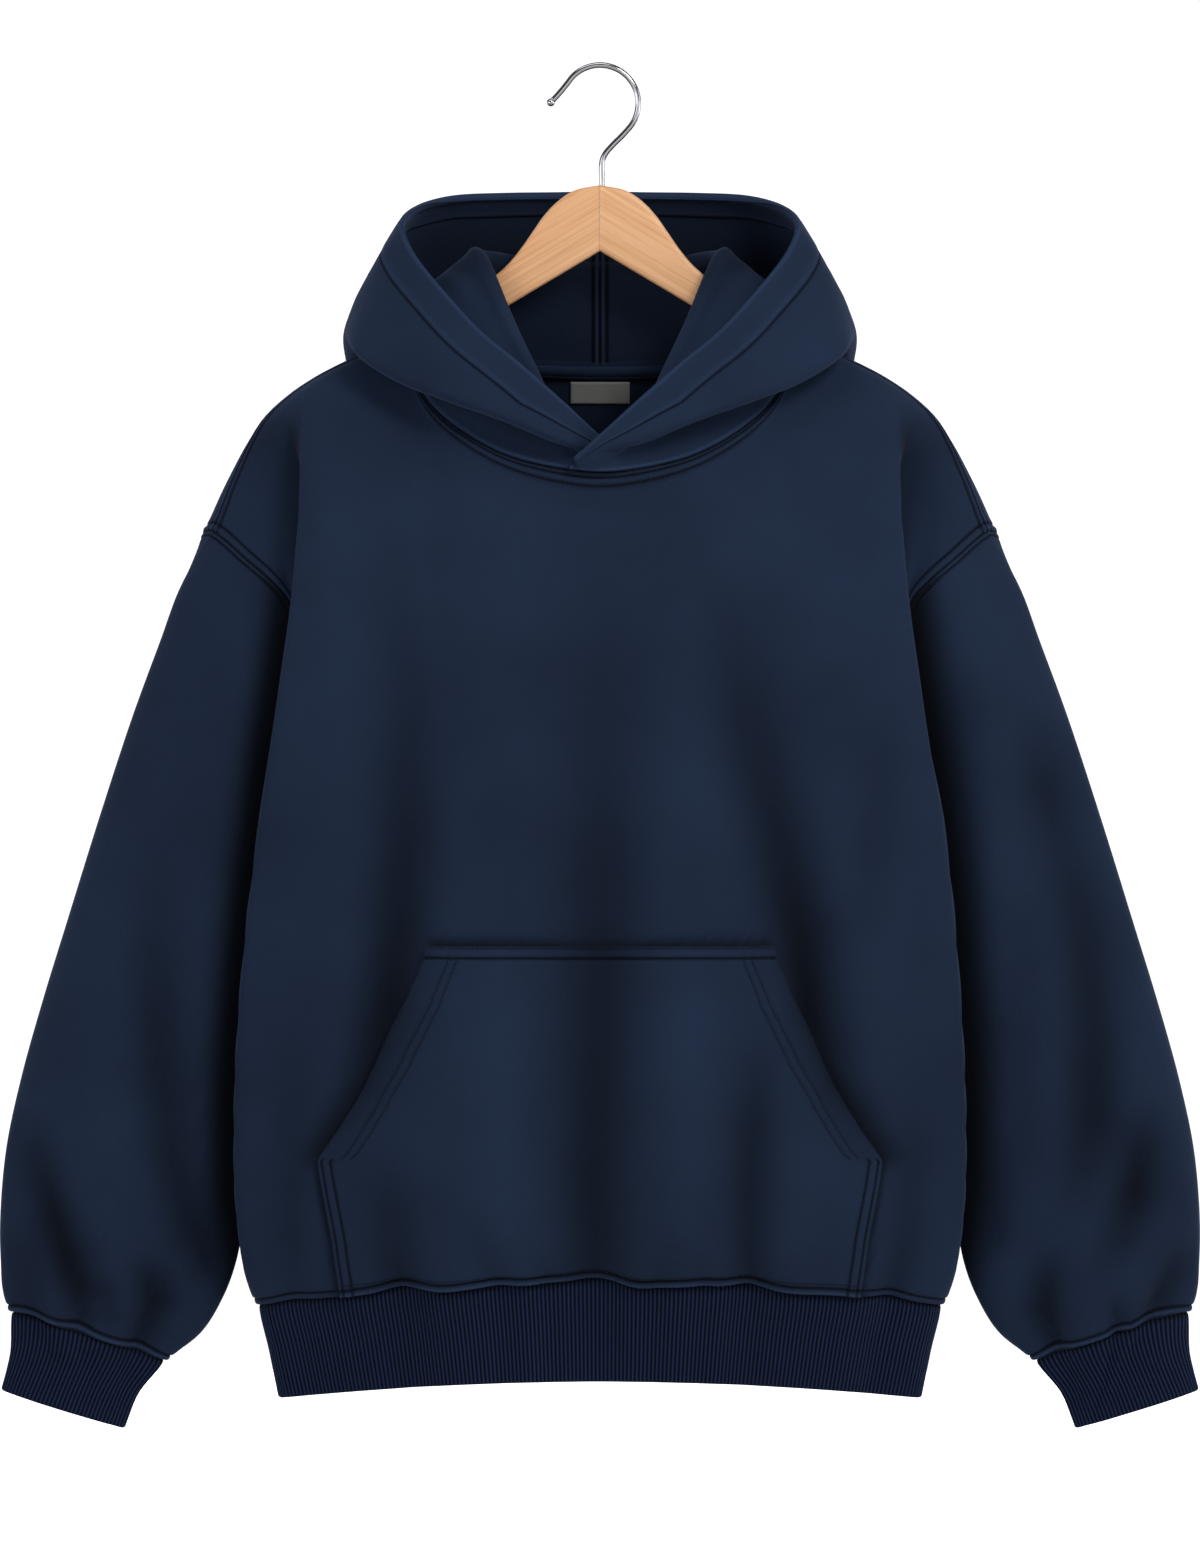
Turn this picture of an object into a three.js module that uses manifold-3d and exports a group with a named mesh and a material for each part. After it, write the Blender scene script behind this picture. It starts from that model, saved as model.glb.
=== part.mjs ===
// A pullover hoodie of thick fleece, hung on a wooden coat hanger with a wire hook.
// Millimetres, +Z up, the front faces -Y. The origin is the highest point inside the hook, where a
// rail carries it. The wearer's left half (+X) is tabulated and the right half mirrors it.
import * as THREE from "three";
import { mergeVertices } from "three/addons/utils/BufferGeometryUtils.js";
import Module from "manifold-3d";

// Cloth
const FLEECE = 2.4; // thickness of body, sleeves, hood and pocket
const SEAM_GAP = 0.3; // between two pieces that are sewn together
const RIB_CLOTH = 2.2; // knitted bands, without the raised ribs
const RIB_RISE = 0.7;
const RIB_PITCH = 2.9;
const RIB_FACES_PER_INNER = 4; // outer facets over each plain facet inside a knitted band

// Hanger
const WOOD_THICKNESS = 12;
const WOOD_BEVEL = 2.5;
const WIRE_RADIUS = 2;
const HOOK_RADIUS = 26; // centre line of the hook's bow
const STEM_X = 1.4;
const STEM_DEPTH = 20; // how far the wire goes into the wood
const WOOD_TOP = -79.6;
const WOOD_UNDER_SEAM = 5.8; // from the shoulder seam down to the wood that carries it

// Body below the underarm, one row a level. front and back are the depths on the centre line, fold is
// the front edge that hides the sleeve, turn is halfway into the groove behind it, side is the seam.
const LEVELS = [
  { z: -841, front: 68, back: 62, foldX: 226, foldY: 28, turnX: 231.5, turnY: 13, sideX: 232 },
  { z: -828, front: 75, back: 69, foldX: 235, foldY: 32, turnX: 238.5, turnY: 15, sideX: 238 },
  { z: -806, front: 82, back: 75, foldX: 242, foldY: 36, turnX: 242, turnY: 17, sideX: 238.5 },
  { z: -766, front: 87, back: 79, foldX: 247.5, foldY: 40, turnX: 240, turnY: 19, sideX: 232 },
  { z: -720, front: 88.5, back: 80, foldX: 248.5, foldY: 42, turnX: 234, turnY: 20, sideX: 222 },
  { z: -675, front: 89, back: 80, foldX: 247.5, foldY: 43, turnX: 227, turnY: 20, sideX: 212 },
  { z: -634, front: 88.5, back: 80, foldX: 245, foldY: 43.5, turnX: 221, turnY: 20, sideX: 205 },
  { z: -590, front: 87.5, back: 79.5, foldX: 241, foldY: 44, turnX: 215, turnY: 20, sideX: 195.5 },
  { z: -551, front: 86.5, back: 79, foldX: 236.6, foldY: 45, turnX: 210, turnY: 20, sideX: 188.5 },
  { z: -495, front: 84.5, back: 77, foldX: 229, foldY: 46, turnX: 208, turnY: 20, sideX: 190 },
];
const BACK_FOLD_X = 0.975; // the back's fold, as shares of the front's
const BACK_FOLD_Y = 0.93;
const CHEST_AT = 0.47; // where the chest and breast points stand, as shares of the fold's x
const BREAST_AT = 0.8;

// Front and back above the underarm, one row a level, each point [x, y, z]: centre line, chest,
// breast, the fold beside the sleeve, the valley behind it, and the armhole's edge.
const FRONT_YOKE = [
  { centre: [0, -82.5, -455], chest: [108, -75.5, -451], breast: [180, -63, -450], fold: [222, -48, -450], valley: [205, -23, -448], edge: [192, -13, -447] },
  { centre: [0, -80, -418], chest: [109, -74, -410], breast: [176, -62.5, -409], fold: [215.5, -50, -408], valley: [204, -33, -404], edge: [199, -22, -402] },
  { centre: [0, -77, -384], chest: [110, -71.5, -372], breast: [172, -62, -369], fold: [210, -51, -368], valley: [202, -35, -364], edge: [210.5, -29, -363] },
  { centre: [0, -73, -354], chest: [113, -67, -335], breast: [170, -61, -334], fold: [206.5, -51, -335], valley: [201, -31, -334], edge: [223, -31, -349] },
  { centre: [0, -69, -330], chest: [117, -60, -300], breast: [168, -57, -301], fold: [204, -50, -304], valley: [199.5, -26, -303], edge: [240, -28.5, -334.5] },
  { centre: [0, -65, -310], chest: [121, -50, -266], breast: [168, -50, -269], fold: [202.5, -47, -277], valley: [203.5, -25, -273], edge: [252, -22, -323.5] },
  { centre: [0, -62, -295], chest: [126, -37, -235], breast: [168, -39, -242], fold: [202, -39, -252], valley: [212, -24, -250], edge: [258, -17.5, -318.5] },
  { centre: [0, -60, -284], chest: [130, -20, -203], breast: [167, -22, -216], fold: [199, -25, -230], valley: [222, -17, -243.5], edge: [261, -15, -316.5] },
  { centre: [0, -59, -279], chest: [132, -9, -184.5], breast: [165, -10, -200.5], fold: [196.5, -12, -216], valley: [227, -10.5, -241], edge: [262.4, -13.8, -315.6] },
];
const BACK_YOKE = [
  { centre: [0, 75, -462], chest: [110, 71.5, -462], breast: [183, 60, -462], fold: [219, 42.5, -462], valley: [207, 23, -463], edge: [193, 9, -463] },
  { centre: [0, 73, -425], chest: [112, 70, -425], breast: [181, 59, -426], fold: [217, 43, -428], valley: [209, 28, -430], edge: [199, 19, -432] },
  { centre: [0, 69.5, -385], chest: [114, 67, -383], breast: [178, 57, -385], fold: [216, 43, -388], valley: [213, 33, -394], edge: [208, 27, -402] },
  { centre: [0, 65, -342], chest: [116, 62, -336], breast: [176, 54, -340], fold: [213, 43, -348], valley: [219, 37, -358], edge: [223, 32, -373] },
  { centre: [0, 60, -302], chest: [120, 55, -290], breast: [174, 48, -296], fold: [211, 41, -308], valley: [227, 36, -326], edge: [240, 31, -352] },
  { centre: [0, 55, -268], chest: [124, 45, -248], breast: [172, 40, -258], fold: [208, 35, -272], valley: [235, 30, -294], edge: [256, 25, -337] },
  { centre: [0, 50, -242], chest: [128, 33, -215], breast: [169, 30, -228], fold: [204, 27, -243], valley: [238, 23, -268], edge: [266, 16, -325] },
  { centre: [0, 46, -224], chest: [131, 20, -195], breast: [167, 19, -209], fold: [200, 18, -225], valley: [236.5, 14, -252], edge: [270, 6, -318] },
  { centre: [0, 42, -212], chest: [132, 9, -184], breast: [165, 9.5, -200], fold: [197, 8.5, -215], valley: [233, 4, -244.5], edge: [268.5, -4, -315.5] },
];
// The neck seam and the shoulder seam, which close the panels at the top.
const NECK_FRONT = [
  [0, -58.5, -276], [43, -60, -270.6], [79, -53, -257.7], [110, -38, -235],
  [124, -25, -219.4], [131, -11, -198], [132, 0, -178],
];
const NECK_BACK = [
  [0, 38, -203], [42, 36.5, -201.5], [75, 32, -197.5], [110, 22, -189], [126, 11, -182], [132, 0, -178],
];
const SHOULDER_SEAM = [
  [132, 0, -178], [163, 0, -194.5], [194, -1.5, -210.3], [230, -5.5, -240.5], [263, -13, -315],
];
const SPAN_STEPS = { chest: 6, breast: 4, fold: 2, valley: 2, edge: 2 };
const PANEL_SPANS = Object.values(SPAN_STEPS);

// Soft troughs of the hanging cloth: each follows points [x, z] and presses a panel in by depth.
const FRONT_TROUGHS = [
  { width: 30, depth: 5, path: [[0, -450], [-1, -640], [-8, -795]] },
  { width: 23, depth: 6.5, path: [[-117, -384], [-130, -530], [-140, -600], [-182, -715]] },
  { width: 21, depth: 6.5, path: [[89, -374], [112, -490], [138, -592], [178, -712]] },
  { width: 17, depth: 4.5, path: [[-160, -765], [-126, -812]] },
  { width: 17, depth: 4.5, path: [[94, -745], [76, -808]] },
];
const BACK_TROUGHS = [
  { width: 32, depth: 5, path: [[6, -470], [2, -640], [10, -790]] },
  { width: 24, depth: 6, path: [[118, -430], [132, -600], [168, -730]] },
  { width: 24, depth: 6, path: [[-104, -420], [-128, -590], [-172, -725]] },
];
const SLEEVE_TROUGHS = [
  { width: 13, depth: 9, path: [[383, -735], [373, -790], [357, -820], [350, -842]] },
  { width: 16, depth: 6, path: [[296, -640], [294, -719], [278, -775], [266, -803]] },
  { width: 13, depth: 8, path: [[306, -822], [297, -843], [308, -862]] },
];

// The hem seam rises towards the centre line and dips where the fleece is eased into the knit.
const HEM_LIFT = 15;
const HEM_DIPS = {
  front: [{ x: -105, dip: 3, width: 17 }, { x: 30, dip: 5, width: 19 }, { x: 128, dip: 2, width: 20 }],
  back: [{ x: -64, dip: 4, width: 18 }, { x: 88, dip: 4, width: 20 }],
};
const HEM_LIFT_FADES_AT = 100; // height above the seam where the lift has died out
const BAND_INSET = 1.2; // the knit starts this far inside the fleece's edge
const HEM_BAND = { bottomHalfWidth: 218, bottomZ: -904, bottomLift: 12, depthShare: 0.86 };

// Left sleeve, one row a ring: its outer and inner points in the front view, half thicknesses to the
// front and back, and the depth of its middle.
const SLEEVE_RINGS = [
  { outX: 284, outZ: -350, inX: 203, inZ: -512, front: 31, back: 33, midY: 0 },
  { outX: 300, outZ: -392, inX: 205.5, inZ: -540, front: 33, back: 36, midY: 0 },
  { outX: 318, outZ: -441, inX: 208.5, inZ: -572, front: 35, back: 38, midY: 0 },
  { outX: 340, outZ: -508, inX: 213, inZ: -611, front: 37, back: 40, midY: 0 },
  { outX: 363, outZ: -582, inX: 220, inZ: -658, front: 39, back: 42, midY: 0 },
  { outX: 379, outZ: -634, inX: 226, inZ: -695, front: 40, back: 42, midY: 0 },
  { outX: 394, outZ: -688, inX: 233, inZ: -735, front: 41, back: 42, midY: 0 },
  { outX: 404, outZ: -736, inX: 240, inZ: -772, front: 41, back: 42, midY: 0 },
  { outX: 408, outZ: -785, inX: 247, inZ: -812, front: 41, back: 42, midY: 0 },
  { outX: 407.5, outZ: -812, inX: 256, inZ: -836, front: 41, back: 41, midY: 0 },
  { outX: 406, outZ: -832, inX: 271, inZ: -860, front: 38, back: 38, midY: 0 },
  { outX: 400.5, outZ: -846, inX: 296, inZ: -879, front: 28, back: 28, midY: 0 },
];
const SLEEVE_PINCH = 0.5; // how far the inner edge is pressed flat beside the body
const CUFF_RINGS = [
  { outX: 407, outZ: -899, inX: 323.5, inZ: -925, front: 24, back: 24, midY: 0 },
];

// Hood, one row a station from the front tip (just past the centre line) round to the centre back.
// at: share of the way along the neck seam. From the seam the cloth climbs to a collar fold (peak),
// falls to the roll that rests on the shoulder (trough) and rises to the rim. The widths are the
// folds' outer diameters, swell rounds the outer layer and curl bends its rim inwards.
const HOOD = [
  { at: -0.055, peak: [-15.8, -62.2, -273], trough: [-15.9, -63.6, -271], rim: [-16, -66, -267.5], peakWidth: 0, troughWidth: 0, swell: 0, curl: 0 },
  { at: 0.02, peak: [5, -61, -269], trough: [4, -65.5, -264], rim: [2, -68, -249], peakWidth: 0, troughWidth: 0, swell: 0, curl: 0 },
  { at: 0.07, peak: [21, -59, -257], trough: [21, -71, -259.5], rim: [17, -69, -235], peakWidth: 1.5, troughWidth: 7.5, swell: 1, curl: 0 },
  { at: 0.125, peak: [32, -51, -234], trough: [45, -73, -249.5], rim: [38, -68, -214], peakWidth: 7, troughWidth: 9, swell: 2, curl: 0.5 },
  { at: 0.21, peak: [52, -40, -193], trough: [86, -70, -234], rim: [68, -63, -191.5], peakWidth: 9, troughWidth: 11, swell: 4, curl: 1 },
  { at: 0.316, peak: [68, -28, -162], trough: [126, -52, -219.5], rim: [100, -50, -159], peakWidth: 10, troughWidth: 13, swell: 5, curl: 1.5 },
  { at: 0.378, peak: [79, -18, -134], trough: [152, -38, -206], rim: [118, -38, -138], peakWidth: 11, troughWidth: 14, swell: 5, curl: 3 },
  { at: 0.5, peak: [85, 6, -124], trough: [171, -8, -190], rim: [134.5, -12, -107.5], peakWidth: 12, troughWidth: 15, swell: 5, curl: 7 },
  { at: 0.575, peak: [80, 19, -125], trough: [173, 16, -199], rim: [131, 8, -97], peakWidth: 12, troughWidth: 16, swell: 5, curl: 8 },
  { at: 0.65, peak: [68, 28, -127], trough: [166, 42, -222], rim: [119, 32, -92], peakWidth: 13, troughWidth: 18, swell: 7, curl: 8 },
  { at: 0.743, peak: [50, 34, -129], trough: [143, 66, -258], rim: [96, 54, -89.5], peakWidth: 14, troughWidth: 21, swell: 10, curl: 7 },
  { at: 0.858, peak: [27, 38.5, -132], trough: [82, 83, -300], rim: [55, 69, -86.5], peakWidth: 15, troughWidth: 25, swell: 12, curl: 6 },
  { at: 1, peak: [0, 40, -133], trough: [0, 88, -318], rim: [0, 74, -84.5], peakWidth: 15, troughWidth: 26, swell: 13, curl: 6 },
];
const HOOD_SPANS = [2, 1, 1, 1, 2, 2, 1, 1, 2, 2, 1]; // steps between the twelve points of a section
const HOOD_EXTRA = [6.5 / 12, 7.5 / 12]; // stations between those of the neck seam
// The left front edge laps over the right: each moves this far at its tip, past the centre line.
const HOOD_LAP = { tip: 8, tipX: -16, fadesX: 45 };

// Pocket outline, half width at each height, and how far its free edges stand off the front.
const POCKET = [
  { z: -596.5, halfWidth: 115.5 },
  { z: -604.7, halfWidth: 117.5 },
  { z: -634, halfWidth: 131 },
  { z: -675, halfWidth: 152.5 },
  { z: -703.7, halfWidth: 169 },
  { z: -720, halfWidth: 178.5 },
  { z: -738.9, halfWidth: 189.5 },
  { z: -743, halfWidth: 191 },
  { z: -766, halfWidth: 187 },
  { z: -795, halfWidth: 181.5 },
  { z: -806, halfWidth: 180 },
  { z: -829, halfWidth: 176 },
];
const POCKET_COLUMNS = 20;
const POCKET_ABOVE_HEM = 1;
const POCKET_SEWN_GAP = 0.35;
const LEAST_GAP = 0.3; // anywhere between the pocket and the front
const POCKET_LIP = 2.6; // at the middle of each hand opening
const POCKET_EASE = 1.2; // over the middle of the pocket
const POCKET_CORNER = 7; // row of the outline where a hand opening ends

const TAPE = { above: 4, below: 7, thickness: 1, from: 0.56, gap: 0.6 };
const LABEL = { halfWidth: 20.3, top: -212.5, bottom: -227.5, thickness: 0.9 };

const wasm = await Module();
wasm.setup();

const point = (p) => new THREE.Vector3(...p);
const mirrored = (p) => new THREE.Vector3(-p.x, p.y, p.z);
const between = (a, b, share) => a.clone().lerp(b, share);

// Points along a smooth curve through the given ones, with a stated number of steps in each span.
// A span of no steps only shapes the curve next to it.
function alongCurve(points, steps) {
  const last = points.length - 1;
  const knots = [0];
  for (let i = 0; i < last; i++)
    knots.push(knots[i] + Math.max(Math.sqrt(points[i].distanceTo(points[i + 1])), 1e-6));
  const chord = (i) => points[i + 1].clone().sub(points[i]).divideScalar(knots[i + 1] - knots[i]);
  const slope = points.map((_, i) => {
    if (i === 0) return chord(0);
    if (i === last) return chord(last - 1);
    const before = knots[i] - knots[i - 1];
    const after = knots[i + 1] - knots[i];
    return chord(i - 1).multiplyScalar(after).addScaledVector(chord(i), before).divideScalar(before + after);
  });
  const made = [];
  steps.forEach((count, i) => {
    const h = knots[i + 1] - knots[i];
    if (count > 0 && made.length === 0) made.push(points[i].clone());
    for (let k = 1; k <= count; k++) {
      const t = k / count;
      made.push(
        new THREE.Vector3()
          .addScaledVector(points[i], 1 + t * t * (2 * t - 3))
          .addScaledVector(slope[i], h * t * (1 - t) * (1 - t))
          .addScaledVector(points[i + 1], t * t * (3 - 2 * t))
          .addScaledVector(slope[i + 1], h * t * t * (t - 1)),
      );
    }
  });
  return made;
}

// A point at a share of a polyline's length.
function atShare(line, share) {
  const reach = [0];
  for (let i = 1; i < line.length; i++) reach.push(reach[i - 1] + line[i].distanceTo(line[i - 1]));
  const goal = share * reach[reach.length - 1];
  let i = 1;
  while (i < line.length - 1 && reach[i] < goal) i++;
  return between(line[i - 1], line[i], (goal - reach[i - 1]) / (reach[i] - reach[i - 1]));
}

// How far a set of troughs presses the cloth in at a place in the front view.
function pressed(troughs, x, z) {
  let sum = 0;
  for (const { width, depth, path } of troughs) {
    let nearest = Infinity;
    for (let i = 1; i < path.length; i++) {
      const [ax, az] = path[i - 1];
      const [bx, bz] = path[i];
      const lengthSquared = (bx - ax) ** 2 + (bz - az) ** 2;
      const t = THREE.MathUtils.clamp(((x - ax) * (bx - ax) + (z - az) * (bz - az)) / lengthSquared, 0, 1);
      nearest = Math.min(nearest, Math.hypot(x - ax - t * (bx - ax), z - az - t * (bz - az)));
    }
    sum += depth * Math.exp(-((nearest / width) ** 2));
  }
  return sum;
}

const rise = (t) => THREE.MathUtils.smoothstep(t, 0, 1);

// Half a level row, from the centre line to the side seam. sign is -1 for the front, 1 for the back.
function levelRow(level, sign) {
  const backwards = sign > 0;
  const depth = backwards ? level.back : level.front;
  const foldX = level.foldX * (backwards ? BACK_FOLD_X : 1);
  const foldY = level.foldY * (backwards ? BACK_FOLD_Y : 1);
  const bulged = (share) => foldY + (depth - foldY) * (1 - share ** 2.2) ** 0.8;
  return [
    [0, sign * depth, level.z],
    [foldX * CHEST_AT, sign * bulged(CHEST_AT), level.z],
    [foldX * BREAST_AT, sign * bulged(BREAST_AT), level.z],
    [foldX, sign * foldY, level.z],
    [level.turnX, sign * level.turnY, level.z],
    [level.sideX, 0, level.z],
  ].map(point);
}

const yokeRow = (row) => [row.centre, row.chest, row.breast, row.fold, row.valley, row.edge].map(point);

function halfRow(stations) {
  return alongCurve([mirrored(stations[1]), ...stations], [0, ...PANEL_SPANS]);
}

// The top row of a panel: half the neck seam, then the shoulder seam.
function topRow(neck) {
  const neckLine = alongCurve(neck.map(point), neck.slice(1).map(() => 8));
  const half = [];
  for (let k = 0; k < SPAN_STEPS.chest; k++) half.push(atShare(neckLine, k / SPAN_STEPS.chest));
  return [...half, ...alongCurve(SHOULDER_SEAM.map(point), PANEL_SPANS.slice(1))];
}

const bothHalves = (half) => [...half.slice(1).reverse().map(mirrored), ...half];

function hemLift(x, dips) {
  const share = x / LEVELS[0].sideX;
  let lift = HEM_LIFT * (1 - share * share);
  for (const { x: at, dip, width } of dips) lift -= dip * Math.exp(-(((x - at) / width) ** 2));
  return lift;
}

// Lets the middle of a row take on a share of the neck seam's bow.
function bowed(half, top, share) {
  const end = SPAN_STEPS.chest;
  return half.map((p, k) => {
    if (k >= end) return p;
    const neckBow = top[k].clone().sub(between(top[0], top[end], k / end));
    const chord = between(half[0], half[end], k / end);
    return between(p, chord.add(neckBow), share);
  });
}

// A body panel as a grid of outer points, from the hem seam up, each row from -X to +X.
function panelGrid(sign, yoke, neck, troughs, dips) {
  const top = topRow(neck);
  const rows = [
    ...LEVELS.map((level) => halfRow(levelRow(level, sign))),
    ...yoke.map((row, r) => bowed(halfRow(yokeRow(row)), top, 1 - (1 - (r + 1) / (yoke.length + 1)) ** 2)),
    top,
  ].map(bothHalves);
  const topSeam = rows[rows.length - 1];
  for (const row of rows) {
    for (const p of row) {
      const fade = rise(1 - (p.z - LEVELS[0].z) / HEM_LIFT_FADES_AT);
      if (row !== topSeam && Math.abs(p.y) > LEVELS[0].foldY / 2)
        p.y -= sign * pressed(troughs, p.x, p.z);
      p.z += fade * hemLift(p.x, dips);
    }
  }
  return rows;
}

// Normals of a grid of points. Columns close on themselves in a tube.
function gridNormals(grid, closed, flip) {
  const lastRow = grid.length - 1;
  return grid.map((row, r) =>
    row.map((_, c) => {
      const n = row.length;
      const next = closed ? (c + 1) % n : Math.min(c + 1, n - 1);
      const before = closed ? (c + n - 1) % n : Math.max(c - 1, 0);
      const along = row[next].clone().sub(row[before]);
      const up = grid[Math.min(r + 1, lastRow)][c].clone().sub(grid[Math.max(r - 1, 0)][c]);
      return along.cross(up).multiplyScalar(flip ? -1 : 1).normalize();
    }),
  );
}

// Panels that meet at a seam share its points, and so its normals. A sleeve shares the body's normals
// too, except under the arm, where it lies face to face with the body.
const seamNormals = { body: new Map(), sleeve: new Map() };
const seamKey = (p) => [p.x, p.y, p.z].map((a) => Math.round(a * 100)).join();

function seamNormal(p, group) {
  const own = seamNormals[group].get(seamKey(p)).clone().normalize();
  const across = seamNormals[group === "body" ? "sleeve" : "body"].get(seamKey(p))?.clone().normalize();
  return across && own.dot(across) > 0 ? own.add(across).normalize() : own;
}

class Sheet {
  constructor(grid, { closed = false, flip = false, group = "body" } = {}) {
    this.outer = grid;
    this.group = group;
    this.closed = closed;
    this.flip = flip;
    this.normals = gridNormals(grid, closed, flip);
    grid.forEach((row, r) =>
      row.forEach((p, c) => {
        if (!this.onEdge(r, c)) return;
        const sums = seamNormals[group];
        const sum = sums.get(seamKey(p)) ?? new THREE.Vector3();
        sums.set(seamKey(p), sum.add(this.normals[r][c]));
      }),
    );
  }

  onEdge(r, c) {
    const sides = !this.closed && (c === 0 || c === this.outer[r].length - 1);
    return r === 0 || r === this.outer.length - 1 || sides;
  }

  // Shares the seam normals, gives the wall its thickness and trims the edges by half a seam gap.
  thicken(thickness) {
    this.outer.forEach((row, r) =>
      row.forEach((p, c) => {
        if (this.onEdge(r, c)) this.normals[r][c] = seamNormal(p, this.group);
      }),
    );
    const inner = this.outer.map((row, r) =>
      row.map((p, c) => p.clone().addScaledVector(this.normals[r][c], -thickness)),
    );
    const outer = this.outer.map((row) => row.map((p) => p.clone()));
    [outer, inner].forEach((grid) => this.trim(grid));
    return wallGeometry(outer, inner, this.closed, this.flip);
  }

  trim(grid) {
    const pull = (p, towards) => p.add(towards.clone().sub(p).setLength(SEAM_GAP * 0.75));
    const last = grid.length - 1;
    const moved = grid.map((row) => row.map((p) => p.clone()));
    grid[0].forEach((p, c) => pull(p, moved[1][c]));
    grid[last].forEach((p, c) => pull(p, moved[last - 1][c]));
    if (this.closed) return;
    grid.forEach((row, r) => {
      const end = row.length - 1;
      pull(row[0], moved[r][1]);
      pull(row[end], moved[r][end - 1]);
    });
  }
}

// A closed wall between two grids of the same shape.
function wallGeometry(outer, inner, closed, flip) {
  const rows = outer.length;
  const columns = outer[0].length;
  const positions = [...outer.flat(), ...inner.flat()].flatMap((p) => [p.x, p.y, p.z]);
  const index = (layer, r, c) => layer * rows * columns + r * columns + (c % columns);
  const triangles = [];
  const quad = (a, b, c, d) => triangles.push(...(flip ? [a, c, b, a, d, c] : [a, b, c, a, c, d]));
  const spans = closed ? columns : columns - 1;
  for (let r = 0; r < rows - 1; r++)
    for (let c = 0; c < spans; c++) {
      quad(index(0, r, c), index(0, r, c + 1), index(0, r + 1, c + 1), index(0, r + 1, c));
      quad(index(1, r, c), index(1, r + 1, c), index(1, r + 1, c + 1), index(1, r, c + 1));
    }
  for (let c = 0; c < spans; c++) {
    quad(index(0, 0, c + 1), index(0, 0, c), index(1, 0, c), index(1, 0, c + 1));
    quad(index(0, rows - 1, c), index(0, rows - 1, c + 1), index(1, rows - 1, c + 1), index(1, rows - 1, c));
  }
  if (!closed)
    for (let r = 0; r < rows - 1; r++) {
      const end = columns - 1;
      quad(index(0, r, 0), index(0, r + 1, 0), index(1, r + 1, 0), index(1, r, 0));
      quad(index(0, r + 1, end), index(0, r, end), index(1, r, end), index(1, r + 1, end));
    }
  return indexedGeometry(positions, triangles);
}

function indexedGeometry(positions, triangles) {
  const geometry = new THREE.BufferGeometry();
  geometry.setAttribute("position", new THREE.Float32BufferAttribute(positions, 3));
  geometry.setIndex(triangles);
  return geometry;
}

// The armhole's edge, round from the shoulder seam down the front, under the arm and up the back.
function armholeLoop(front, back) {
  const underarm = LEVELS.length - 1;
  const edge = (grid) => grid.slice(underarm).map((row) => row[row.length - 1]);
  const down = edge(front).reverse();
  const up = edge(back);
  return [...down, ...up.slice(1, -1)].map((p) => p.clone());
}

// One ring of a sleeve or cuff, with a point for each share of the way round.
function sleeveRing(ring, shares) {
  const outer = new THREE.Vector3(ring.outX, ring.midY, ring.outZ);
  const inner = new THREE.Vector3(ring.inX, ring.midY, ring.inZ);
  return shares.map((share) => {
    const angle = share * 2 * Math.PI;
    const inward = (1 - Math.cos(angle)) / 2;
    const p = between(outer, inner, inward);
    const half = angle < Math.PI ? -ring.front : -ring.back;
    p.y += half * Math.sin(angle) * (1 - SLEEVE_PINCH * inward ** 1.5);
    return p;
  });
}

function sleeveGrid(front, back) {
  const loop = armholeLoop(front, back);
  const half = front.length - LEVELS.length;
  const reach = [0];
  loop.forEach((p, i) => reach.push(reach[i] + p.distanceTo(loop[(i + 1) % loop.length])));
  const halfway = reach[half];
  const round = reach[loop.length];
  const shares = loop.map((_, i) =>
    i <= half ? (0.5 * reach[i]) / halfway : 0.5 + (0.5 * (reach[i] - halfway)) / (round - halfway),
  );
  const rings = SLEEVE_RINGS.map((ring) => sleeveRing(ring, shares));
  for (const ring of rings)
    for (const p of ring) {
      const side = p.y < 0 ? 1 : -1;
      p.y += side * Math.min(1, Math.abs(p.y) / 15) * pressed(SLEEVE_TROUGHS, p.x, p.z);
    }
  return [loop, ...rings];
}

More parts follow.
